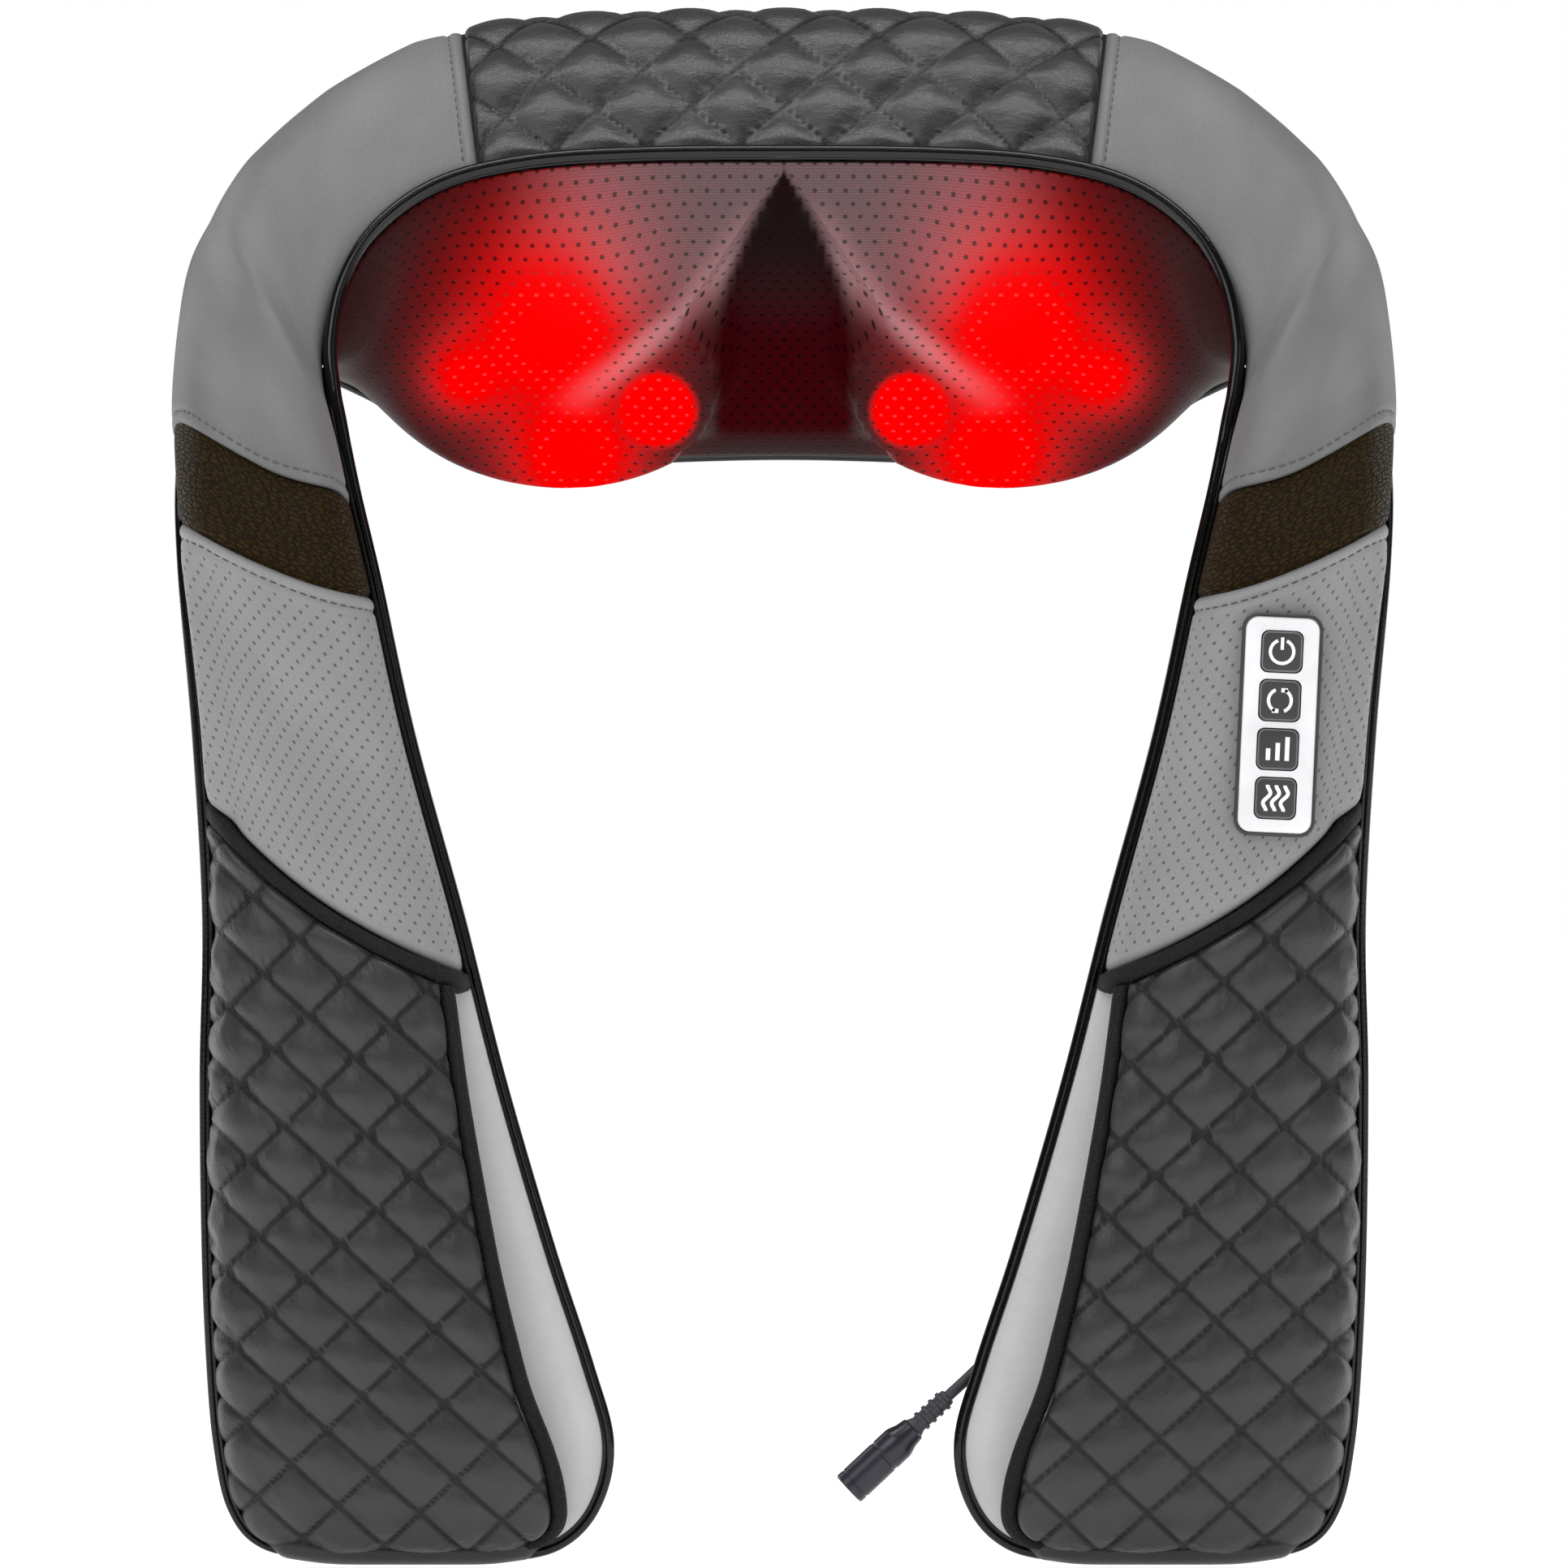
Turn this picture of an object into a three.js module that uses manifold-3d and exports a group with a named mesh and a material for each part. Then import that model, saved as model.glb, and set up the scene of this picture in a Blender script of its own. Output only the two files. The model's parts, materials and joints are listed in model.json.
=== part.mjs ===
// Shiatsu neck massager: a horseshoe-shaped padded collar with two arms that end in hand pockets.
// Frame: +Z up along the arms, +X to the control-panel arm, -Y towards the front. The origin is in the
// middle of the object's width and depth, level with the arms' lower ends. Millimetres.
import * as THREE from "three";
import { mergeVertices } from "three/addons/utils/BufferGeometryUtils.js";
import Module from "manifold-3d";

const wasm = await Module();
wasm.setup();

// ---------- driving dimensions ----------
const SKIN = 3; // thickness of a sewn cover with its wadding
const ORIGIN = { y: 76.6, z: -0.3 }; // from the arms' front plane and ends to the middle of the base
const GAP = 0.4; // clearance between neighbouring solids
const PIPING_GAP = 0.6;
const FOAM_INSET = SKIN + 1.2; // the foam stands this far inside the covers' outer faces
const PIPING_INNER_R = 2.2;
const PIPING_OUTER_R = 1.7;
const COLUMNS = 10; // places across the body where every cover and foam is sampled

// Half of the padded body, from the middle of the collar to the end of an arm. Each station gives the
// inner (neck-side) edge, the outer edge, the height of the outer cover above the line between them,
// the height of the inner cover below it, and how square the outer cover's dome is.
const STATIONS = [
  { inner: [0, 34, 435.5], outer: [0, 154, 346], front: 76, back: 4, square: 3.4 },
  { inner: [46, 33, 435], outer: [40, 154, 345], front: 76, back: 4, square: 3.4 },
  { inner: [80, 31, 432.5], outer: [72, 153, 343], front: 76, back: 4, square: 3.4 },
  { inner: [106, 28, 426], outer: [96, 150, 347], front: 73, back: 4, square: 3.3 },
  { inner: [125, 24, 413], outer: [115, 145, 356], front: 65, back: 4, square: 3.2 },
  { inner: [136, 19, 396], outer: [130, 138, 365], front: 57, back: 4, square: 3.0 },
  { inner: [140.5, 13, 377], outer: [147, 122, 371], front: 52, back: 4, square: 2.9 },
  { inner: [140, 9, 361], outer: [167, 90, 368], front: 44, back: 5, square: 2.7 },
  { inner: [137.5, 6, 346], outer: [181, 45, 356], front: 33, back: 8, square: 2.6 },
  { inner: [134, 4, 330], outer: [184.5, 13, 337], front: 25, back: 11, square: 2.4 },
  { inner: [127.5, 3, 303], outer: [183.8, 5, 307], front: 22, back: 12, square: 2.3 },
  { inner: [117, 3, 255], outer: [179.3, 3, 256], front: 21, back: 12, square: 2.3 },
  { inner: [102, 3, 200], outer: [176.2, 3, 200], front: 24, back: 12, square: 2.3 },
  { inner: [89.3, 3, 150], outer: [177, 3, 150], front: 27, back: 12, square: 2.3 },
  { inner: [74.1, 3, 98], outer: [176.4, 3, 98], front: 28, back: 12, square: 2.3 },
  { inner: [62.3, 3, 62], outer: [174.9, 3, 62], front: 27, back: 12, square: 2.3 },
  { inner: [56, 3, 38], outer: [172.8, 3, 38], front: 24, back: 12, square: 2.3 },
  { inner: [60, 3, 19.5], outer: [168.6, 3, 19], front: 19, back: 10, square: 2.2 },
  { inner: [71, 3, 8.5], outer: [159.5, 3, 8.5], front: 12, back: 7, square: 2.1 },
  { inner: [90, 3, 4.6], outer: [140, 3, 4.6], front: 6, back: 5, square: 2 },
];
const LAST = STATIONS.length - 1;
const QUILT_END = 2.5; // station where the quilted collar panel meets a shoulder panel
const MESH_END = 8.6; // station where the mesh cover stops

// Stations at which the covers, the foams and the piping are all sampled, so that they nest.
const COLLAR_ROWS = [0, 1.25, QUILT_END, 3.25, 4, 4.75, 5.5, 6.25, 7, 7.6, 8.1];
const ARM_ROWS = [8.1, 8.6, 9.1, 9.7, 11, 12.4];
const TOE_ROWS = [14, 15.4, 16, 16.5, 17, 17.5, 18, 18.5];

// Seams of the arm, as a station for each place v across it (0 inner edge, 1 outer edge).
const bandTopSeam = (v) => 9 - 0.55 * v;
const bandEndSeam = (v) => 10.12 - 0.62 * v;
const pocketTopSeam = (v) => 12.32 - 0.55 * v - 0.42 * v * v;
const TRIM = 0.13; // height of the dark trim strip along the pocket's top, in stations
const SEAM = 0.008; // half of the gap at a seam, in stations

// How far the pocket's free edge stands back from the arm's inner edge, as a share of the width.
const pocketEdge = (k) => 0.05 + 0.15 * Math.sin(0.62 * Math.PI * THREE.MathUtils.clamp((k - 11.9) / 5.3, 0, 1));
const BINDING = 0.045; // width of the binding on that edge, as a share of the arm's width
const LINING_HEIGHT = 3.6; // back wall of the pocket, above the line between the arm's edges

// Shoulder flex joint, where each padded arm bends away from the collar.
const FLEX = { x: 160, y: -1, z: 339, tilt: THREE.MathUtils.degToRad(21), r: 27 };

// Massage drive, in its own frame: x across, y down the pad from the neck rim, z out to the back.
const PAD_TILT = -Math.atan2(89.5, 120);
const HEAD_X = 69;
const HEAD_Y = 88;
const WHEEL_TEETH = 36;
const WHEEL_PITCH_R = 22;
const WORM_PITCH_R = 5.5;
const WORM_Z = 18.5;
const WORM_Y = HEAD_Y - WHEEL_PITCH_R - WORM_PITCH_R;
const THREAD_PITCH = (2 * Math.PI * WHEEL_PITCH_R) / WHEEL_TEETH;
const ARM_R = 31; // from a head's axis to the middle of each of its nodes
const BIG_NODE_R = 16;
const SMALL_NODE_R = 12.5;
const NODE_Z = -6; // middle of a node's round crown
const HEAD_PLATE = { z: 4, thick: 3 };
const TRAY = { x: 196, y0: 40, y1: 131, z0: 11.5, wall: 2 };
const MOTOR = { r: 17, length: 52 };
const SHAFT_R = 2.5;
const BUSH_X = 90.5;

// Control panel on the right arm.
const PANEL = { x: 151.8, y: -20.3, z: 259.3, width: 25, height: 68.5, lean: THREE.MathUtils.degToRad(2.6) };
const HOUSING = { width: 20.6, height: 62, depth: 10, wall: 1.2 };
const BUTTON = { pitch: 15, side: 12.4, travel: 0.8 };

// Power socket on its short cable.
const SOCKET = { x: 50.5, y: 6, z: 52.5, strain: 14, length: 42, r: 5.5, bore: 2.9 };
const CABLE_R = 1.8;

// ---------- materials ----------
const paint = (color, roughness, metalness = 0) => new THREE.MeshStandardMaterial({ color, roughness, metalness });
const GREY_LEATHER = paint(0x858585, 0.6);
const PERFORATED_LEATHER = paint(0x979797, 0.6);
const BROWN_LEATHER = paint(0x2d2109, 0.55);
const QUILTED_LEATHER = paint(0x474747, 0.5);
const TRIM_LEATHER = paint(0x2a2a2a, 0.5);
const LINING_FABRIC = paint(0xb5b5b5, 0.9);
const MESH_FABRIC = paint(0x3a2226, 0.75);
const PIPING_VINYL = paint(0x0b0b0b, 0.25);
const FOAM = paint(0xd9d2bd, 0.95);
const BLACK_PLASTIC = paint(0x1b1b1d, 0.45);
const GREY_PLASTIC = paint(0x6b6e72, 0.5);
const WHITE_PLASTIC = paint(0xe6e6e6, 0.35);
const BUTTON_PLASTIC = paint(0x3d3d3d, 0.5);
const RED_LENS = paint(0xb3090c, 0.3);
const STEEL = paint(0x9a9ca0, 0.3, 1);
const BRASS = paint(0xb08d4a, 0.35, 1);
const NYLON = paint(0xe9e4d4, 0.5);
const CIRCUIT = paint(0x1c5a34, 0.5);

// ---------- solids ----------
// A manifold solid from a closed three.js geometry, turned the right way out.
function solid(geometry) {
  const bare = geometry.index ? geometry.toNonIndexed() : geometry.clone();
  bare.deleteAttribute("normal");
  bare.deleteAttribute("uv");
  const merged = mergeVertices(bare, 1e-4);
  const vertProperties = new Float32Array(merged.attributes.position.array);
  const triVerts = new Uint32Array(merged.index.array);
  const made = new wasm.Manifold(new wasm.Mesh({ numProp: 3, vertProperties, triVerts }));
  if (made.volume() >= 0) return made;
  const turned = new Uint32Array(triVerts).reverse();
  return new wasm.Manifold(new wasm.Mesh({ numProp: 3, vertProperties, triVerts: turned }));
}

// The biggest body of a solid, without the slivers that a cut leaves.
const largest = (made) => made.decompose().reduce((a, b) => (a.volume() > b.volume() ? a : b));

function geometryOf(made) {
  const mesh = made.getMesh();
  const geometry = new THREE.BufferGeometry();
  geometry.setAttribute("position", new THREE.BufferAttribute(new Float32Array(mesh.vertProperties), 3));
  geometry.setIndex(new THREE.BufferAttribute(new Uint32Array(mesh.triVerts), 1));
  geometry.computeVertexNormals();
  return geometry;
}

function solidFrom(points, index) {
  const geometry = new THREE.BufferGeometry();
  const flat = new Float32Array(points.flatMap((p) => p.toArray()));
  geometry.setAttribute("position", new THREE.BufferAttribute(flat, 3));
  geometry.setIndex(index);
  return solid(geometry);
}

// Two grids of points, each a list of rows, closed all round into one sheet.
function sheet(top, under) {
  const row = top[0].length;
  const layer = row * top.length;
  const index = [];
  const quad = (a, b, c, d) => index.push(a, b, c, a, c, d);
  for (let i = 0; i + 1 < top.length; i++) {
    for (let j = 0; j + 1 < row; j++) {
      const a = i * row + j;
      quad(a, a + 1, a + row + 1, a + row);
      quad(layer + a, layer + a + row, layer + a + row + 1, layer + a + 1);
    }
    const left = i * row;
    const right = left + row - 1;
    quad(left, left + row, layer + left + row, layer + left);
    quad(right, layer + right, layer + right + row, right + row);
  }
  const end = layer - row;
  for (let j = 0; j + 1 < row; j++) {
    quad(j, layer + j, layer + j + 1, j + 1);
    quad(end + j, end + j + 1, layer + end + j + 1, layer + end + j);
  }
  return solidFrom([...top.flat(), ...under.flat()], index);
}

// Rings of points joined into a tube, with a flat fan over each end.
function loft(rings) {
  const count = rings[0].length;
  const index = [];
  for (let i = 0; i + 1 < rings.length; i++) {
    for (let j = 0; j < count; j++) {
      const a = i * count + j;
      const b = i * count + ((j + 1) % count);
      index.push(a, b, b + count, a, b + count, a + count);
    }
  }
  const last = (rings.length - 1) * count;
  for (let j = 1; j + 1 < count; j++) {
    index.push(0, j + 1, j, last, last + j, last + j + 1);
  }
  return solidFrom(rings.flat(), index);
}

// A round cord along a smooth path through the given points.
function cord(points, radius, steps, sides = 6) {
  const path = new THREE.CatmullRomCurve3(points);
  const round = new THREE.Shape().absarc(0, 0, radius, 0, 2 * Math.PI);
  return solid(new THREE.ExtrudeGeometry(round, { extrudePath: path, steps, curveSegments: sides }));
}

const cylinder = (r, length, sides = 16) => solid(new THREE.CylinderGeometry(r, r, length, sides));
const alongX = (made) => made.rotate([0, 0, 90]);
const alongZ = (made) => made.rotate([90, 0, 0]);
const box = (x, y, z) => solid(new THREE.BoxGeometry(x, y, z));
const flat = (x, y) => new THREE.Vector2(x, y);

function lathe(profile, sides) {
  return solid(new THREE.LatheGeometry(profile.map(([r, h]) => flat(r, h)), sides));
}

function roundedBox(width, height, depth, radius) {
  const w = width / 2 - radius;
  const h = height / 2 - radius;
  const outline = new THREE.Shape();
  outline.absarc(w, h, radius, 0, Math.PI / 2);
  outline.absarc(-w, h, radius, Math.PI / 2, Math.PI);
  outline.absarc(-w, -h, radius, Math.PI, 1.5 * Math.PI);
  outline.absarc(w, -h, radius, 1.5 * Math.PI, 2 * Math.PI);
  return solid(new THREE.ExtrudeGeometry(outline, { depth, bevelEnabled: false, curveSegments: 2 }));
}

// A solid built for the right side, moved to the side asked for.
const sided = (made, side) => (side > 0 ? made : made.mirror([1, 0, 0]));
const SIDES = [
  ["left", -1],
  ["right", 1],
];

// ---------- the padded body ----------
const vec = (a) => new THREE.Vector3(...a);

// A smooth curve through one edge of the stations, led in by the first station's mirror image.
function stationCurve(key) {
  const before = vec(STATIONS[1][key]).multiply(vec([-1, 1, 1]));
  return new THREE.CatmullRomCurve3([before, ...STATIONS.map((s) => vec(s[key]))], false, "catmullrom", 0.5);
}
const innerCurve = stationCurve("inner");
const outerCurve = stationCurve("outer");
const onCurve = (curve, k) => curve.getPoint((k + 1) / (LAST + 1));

function between(key, k) {
  const i = THREE.MathUtils.clamp(Math.floor(k), 0, LAST - 1);
  return THREE.MathUtils.lerp(STATIONS[i][key], STATIONS[i + 1][key], k - i);
}

// The section at station k: its inner edge, its width, the unit chord from the inner to the outer edge,
// and the unit normal that points out of the outer cover.
function section(k) {
  const inner = onCurve(innerCurve, k);
  const chord = onCurve(outerCurve, k).sub(inner);
  const width = chord.length();
  const back = k - 0.05;
  const ahead = Math.min(LAST, k + 0.05);
  const travel = onCurve(innerCurve, ahead).add(onCurve(outerCurve, ahead));
  travel.sub(onCurve(innerCurve, back)).sub(onCurve(outerCurve, back));
  chord.normalize();
  const normal = travel.cross(chord).normalize();
  return { inner, width, chord, normal, front: between("front", k), back: between("back", k), square: between("square", k) };
}

const dome = (v, n) => Math.pow(Math.max(0, 1 - Math.pow(Math.abs(2 * v - 1), n)), 1 / n);
const CREST = 0.82; // below 1 this moves the outer cover's crest towards the inner edge
const BACK_SQUARE = 3;
const BACK_FLAT = 0.96; // the inner side is flat where its dome passes this share
const eased = (t) => (1 - Math.cos(Math.PI * t)) / 2; // places that crowd towards both edges
const columns = (from = 0, to = 1, count = COLUMNS) =>
  Array.from({ length: count + 1 }, (_, j) => THREE.MathUtils.lerp(from, to, eased(j / count)));

// The point at place v of a section inset from both edges, at a height above its chord.
function pointAt(s, v, inset, height) {
  const along = inset + (s.width - 2 * inset) * v;
  return s.inner.clone().addScaledVector(s.chord, along).addScaledVector(s.normal, height);
}
const frontHeight = (s, v, inset) => (s.front - inset) * dome(Math.pow(v, CREST), s.square) + GAP / 2;
const backHeight = (s, v, inset) => -(s.back - inset) * Math.min(BACK_FLAT, dome(v, BACK_SQUARE)) - GAP / 2;

// Rows of places (k, v): each row is a station or a seam, with its own first and last place.
function grid(rows, inset, height, v0 = () => 0, v1 = () => 1, count = COLUMNS) {
  return rows.map((row) => {
    const station = typeof row === "function" ? row : () => row;
    return columns(v0(station(0)), v1(station(0)), count).map((v) => {
      const k = station(v);
      const s = section(Math.abs(k));
      return mirroredIf(k < 0, pointAt(s, v, inset, height(s, v, inset)));
    });
  });
}
const mirroredIf = (yes, point) => (yes ? point.multiply(vec([-1, 1, 1])) : point);
const frontCover = (rows, v0, v1, count) =>
  sheet(grid(rows, 0, frontHeight, v0, v1, count), grid(rows, SKIN, frontHeight, v0, v1, count));
const backCover = (rows) => sheet(grid(rows, 0, backHeight), grid(rows, SKIN, backHeight));
const bothSides = (rows) => [...rows.slice(1).reverse().map((k) => -k), ...rows];

// A ring round the body at station k, out along the front and home along the back.
function bodyRing(k, inset, backOf) {
  const s = section(Math.abs(k));
  const front = columns().map((v) => pointAt(s, v, inset, frontHeight(s, v, inset)));
  const back = columns().reverse().map((v) => pointAt(s, v, inset, backOf(s, v, inset)));
  return [...front, ...back].map((p) => mirroredIf(k < 0, p));
}

// The point beside one edge of the body at station k, a distance off it.
function besideEdge(k, distance, outside) {
  const curve = outside ? outerCurve : innerCurve;
  const travel = onCurve(curve, Math.min(LAST, k + 0.05)).sub(onCurve(curve, k - 0.05)).normalize();
  const away = section(k).normal.cross(travel).normalize();
  return onCurve(curve, k).addScaledVector(away, outside ? distance : -distance);
}

// Piping beside one edge of the body, through the same stations as the covers.
function piping(rows, radius, outside) {
  const points = rows.map((k) => mirroredIf(k < 0, besideEdge(Math.abs(k), radius + PIPING_GAP, outside)));
  const sides = 6;
  const rings = points.map((p, i) => {
    const travel = points[Math.min(i + 1, points.length - 1)].clone().sub(points[Math.max(i - 1, 0)]).normalize();
    const s = section(Math.abs(rows[i]));
    const up = mirroredIf(rows[i] < 0, s.normal.clone());
    const across = travel.clone().cross(up).normalize();
    const square = across.clone().cross(travel);
    return Array.from({ length: sides }, (_, j) => {
      const angle = (2 * Math.PI * j) / sides;
      return p
        .clone()
        .addScaledVector(across, radius * Math.cos(angle))
        .addScaledVector(square, radius * Math.sin(angle));
    });
  });
  return loft(rings);
}

// ---------- shoulder flex cuts ----------
// In the flex frame x runs along the axis and z points up into the collar.
const flexFrame = new THREE.Matrix4().makeRotationY(-FLEX.tilt).setPosition(FLEX.x, FLEX.y, FLEX.z);
const inFlexFrame = (made) => made.transform(flexFrame.elements);
const knuckle = (r) => alongX(cylinder(r, 84, 20));

// What an arm may fill: a round knuckle on the flex axis and the space below it, with the back corner
// taken off so that it can swing up.
function armSpace() {
  const lower = box(500, 400, 500).translate([0, 0, -250]);
  const corner = box(500, 100, 30).translate([0, FLEX.r - 2 + 50, 0]);
  return inFlexFrame(knuckle(FLEX.r).add(lower.subtract(corner)));
}

// What the collar leaves free: a slightly larger knuckle and the space below the axis.
function flexClearance() {
  return inFlexFrame(knuckle(FLEX.r + 0.6).add(box(84, 400, 500).translate([0, 0, -249.4])));
}
const armKeep = armSpace();
const flexFree = flexClearance();
const flexFreeBoth = flexFree.add(sided(flexFree, -1));

// ---------- scene graph ----------
const massager = new THREE.Group();
massager.position.set(0, -ORIGIN.y, -ORIGIN.z);
const drive = new THREE.Group();
drive.position.set(...STATIONS[0].inner);
drive.rotation.x = PAD_TILT;
drive.updateMatrix();
massager.add(drive);
const panel = new THREE.Group();
panel.position.set(PANEL.x, PANEL.y, PANEL.z);
panel.rotation.set(Math.PI / 2, PANEL.lean, 0, "YXZ");
panel.updateMatrix();
massager.add(panel);

function add(name, made, material, group = massager) {
  const mesh = new THREE.Mesh(geometryOf(made), material);
  mesh.name = name;
  group.add(mesh);
}

// ---------- collar ----------
// The tray's side view: a deep end for the motor that slopes down to a shallow end over the wheels.
function trayBlock(grow, base) {
  const outline = new THREE.Shape([
    flat(TRAY.y0 - grow, base),
    flat(TRAY.y0 - grow, 33 + grow),
    flat(TRAY.y0 + 6, 38.5 + grow),
    flat(TRAY.y0 + 42, 38.5 + grow),
    flat(TRAY.y1 + grow, 28 + grow),
    flat(TRAY.y1 + grow, base),
  ]);
  const length = TRAY.x + 2 * grow;
  const made = solid(new THREE.ExtrudeGeometry(outline, { depth: length, bevelEnabled: false }));
  return made.translate([0, 0, -length / 2]).rotate([90, 0, 0]).rotate([0, 0, 90]);
}

function collarFoam() {
  const rings = bothSides([...COLLAR_ROWS, 8.6, 9.2]).map((k) => bodyRing(k, FOAM_INSET, () => 1.4));
  const headRoom = box(236, 100, 60).translate([0, HEAD_Y, -20.2]);
  const room = trayBlock(1, -40).add(headRoom).transform(drive.matrix.elements);
  return largest(loft(rings).subtract(room).subtract(flexFreeBoth));
}

// How far the mesh cover is pushed out at (x, y) of the drive frame: fully over the ring that each
// head sweeps, falling away quickly to the pad's lower edge and slowly towards the neck rim.
function meshRise(x, y) {
  const dx = Math.abs(x) - HEAD_X;
  const dy = y - HEAD_Y;
  const d = Math.hypot(dx, dy);
  const swept = ARM_R + BIG_NODE_R + 1;
  if (d <= swept) return 1;
  const fall = 11 + 36 * Math.pow(Math.max(0, -dy / d), 2) + (dx < 0 ? 10 : 16) * Math.pow(dx / d, 2);
  return 0.5 + 0.5 * Math.cos(Math.PI * Math.min(1, (d - swept) / fall));
}

function meshCover() {
  const toDrive = drive.matrix.clone().invert();
  const out = new THREE.Vector3(0, 0, -1).transformDirection(drive.matrix);
  const reach = BIG_NODE_R - NODE_Z + 2.5;
  const outside = 1.2;
  const inside = 3;
  const steps = 14;
  const rows = bothSides(Array.from({ length: steps + 1 }, (_, i) => (MESH_END * i) / steps));
  const point = (k, v, inset) => {
    const s = section(Math.abs(k));
    const flatAt = (depth) => pointAt(s, v, depth, backHeight(s, v, depth - outside) - 1);
    const local = flatAt(outside).applyMatrix4(toDrive);
    const lift = Math.max(0, reach + local.z) * meshRise(local.x, local.y) * Math.min(1, 2 * dome(v, 2));
    return mirroredIf(k < 0, flatAt(inset).addScaledVector(out, lift));
  };
  const face = (inset) => rows.map((k) => columns().map((v) => point(k, v, inset)));
  return sheet(face(outside), face(inside)).subtract(flexFreeBoth);
}

function buildCollar() {
  const quiltRows = bothSides([0, 1.25, QUILT_END - SEAM]);
  add("quilted_collar_panel", frontCover(quiltRows), QUILTED_LEATHER);
  add("collar_foam", collarFoam(), FOAM);
  add("mesh_cover", meshCover(), MESH_FABRIC);
  const rows = bothSides([...COLLAR_ROWS, 8.6, 9.2]);
  add("inner_piping_collar", piping(rows, PIPING_INNER_R, false).subtract(flexFreeBoth), PIPING_VINYL);
  add("outer_piping_collar", piping(rows, PIPING_OUTER_R, true).subtract(flexFreeBoth), PIPING_VINYL);
  const shoulderRows = [QUILT_END + SEAM, ...COLLAR_ROWS.filter((k) => k > QUILT_END), bandTopSeam];
  const shoulder = frontCover(shoulderRows).subtract(flexFree);
  for (const [label, side] of SIDES) add(`shoulder_panel_${label}`, sided(shoulder, side), GREY_LEATHER);
}

// ---------- arms ----------
// The room inside the hand pocket, from the lining out past the pocket's cover.
function pocketRoom() {
  const rows = [(v) => pocketTopSeam(v) - 0.03, ...TOE_ROWS, LAST];
  const over = (s) => s.front + 8;
  const floor = () => LINING_HEIGHT - GAP;
  const wide = [() => -0.1, () => 1.1, 4];
  return sheet(grid(rows, 0, over, ...wide), grid(rows, 0, floor, ...wide));
}

function armFoam() {
  const rings = [...ARM_ROWS, ...TOE_ROWS].map((k) => bodyRing(k, FOAM_INSET, backHeight));
  return loft(rings).intersect(armKeep).subtract(pocketRoom());
}

function pocketLining() {
  const rows = [(v) => pocketTopSeam(v) + 0.01, 13, 14, 15, 16, 17, 17.5];
  const bounds = [() => 0.06, () => 0.92, 5];
  const face = (height) => grid(rows, 0, () => height, ...bounds);
  return sheet(face(LINING_HEIGHT + 1), face(LINING_HEIGHT));
}

const cableRoute = [
  [92, 5, 84],
  [82, 7, 78],
  [72, 10, 71],
  [63, 10.8, 64],
  [56, 8, 57.5],
].map(vec);
const socketAxis = vec([-0.73, 0, -0.683]).normalize();
const socketTop = vec([SOCKET.x, SOCKET.y, SOCKET.z]);

// What the right arm gives up to the control panel's housing and to the cable.
function fittingsRoom() {
  const well = roundedBox(HOUSING.width + 0.8, HOUSING.height + 0.8, 18, 3).translate([0, 0, -11.5]);
  const hole = cord(cableRoute, CABLE_R + 0.5, 10);
  return well.transform(panel.matrix.elements).add(hole);
}

function buildArm(label, side) {
  const room = fittingsRoom();
  const fitted = (made) => sided(side > 0 ? made.subtract(room) : made, side);
  const put = (name, made, material) => add(`${name}_${label}`, sided(made, side), material);
  const bandTop = (v) => bandTopSeam(v) - 0.35;
  const bandRow = (share) => (v) => THREE.MathUtils.lerp(bandTop(v), bandEndSeam(v) - SEAM, share);
  const band = frontCover([0, 0.2, 0.4, 0.6, 0.8, 1].map(bandRow));
  put("accent_band", band.intersect(armKeep), BROWN_LEATHER);
  const perforated = frontCover([
    (v) => bandEndSeam(v) + SEAM,
    (v) => THREE.MathUtils.lerp(bandEndSeam(v), pocketTopSeam(v), 0.33),
    (v) => THREE.MathUtils.lerp(bandEndSeam(v), pocketTopSeam(v), 0.67),
    (v) => pocketTopSeam(v) - SEAM,
  ]);
  add(`perforated_panel_${label}`, fitted(perforated), PERFORATED_LEATHER);
  const trim = frontCover([(v) => pocketTopSeam(v) + SEAM, (v) => pocketTopSeam(v) + TRIM - SEAM]);
  put("pocket_trim", trim, TRIM_LEATHER);
  const pocketTop = (v) => pocketTopSeam(v) + TRIM + SEAM;
  const afterBinding = (k) => pocketEdge(k) + BINDING + 0.008;
  put("hand_pocket", frontCover([pocketTop, ...TOE_ROWS, LAST], afterBinding, undefined, 8), QUILTED_LEATHER);
  const bindingRows = [(v) => pocketTop(v) + 0.03, ...TOE_ROWS];
  put("pocket_binding", frontCover(bindingRows, pocketEdge, (k) => pocketEdge(k) + BINDING, 2), TRIM_LEATHER);
  put("pocket_lining", pocketLining(), LINING_FABRIC);
  add(`arm_foam_${label}`, fitted(armFoam()), FOAM);
  add(`arm_back_panel_${label}`, fitted(backCover([...ARM_ROWS, ...TOE_ROWS, LAST]).intersect(armKeep)), GREY_LEATHER);
  const edgeRows = [...ARM_ROWS, ...TOE_ROWS, LAST];
  put("inner_piping", piping(edgeRows, PIPING_INNER_R, false).intersect(armKeep), PIPING_VINYL);
  put("outer_piping", piping(edgeRows, PIPING_OUTER_R, true).intersect(armKeep), PIPING_VINYL);
}

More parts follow.
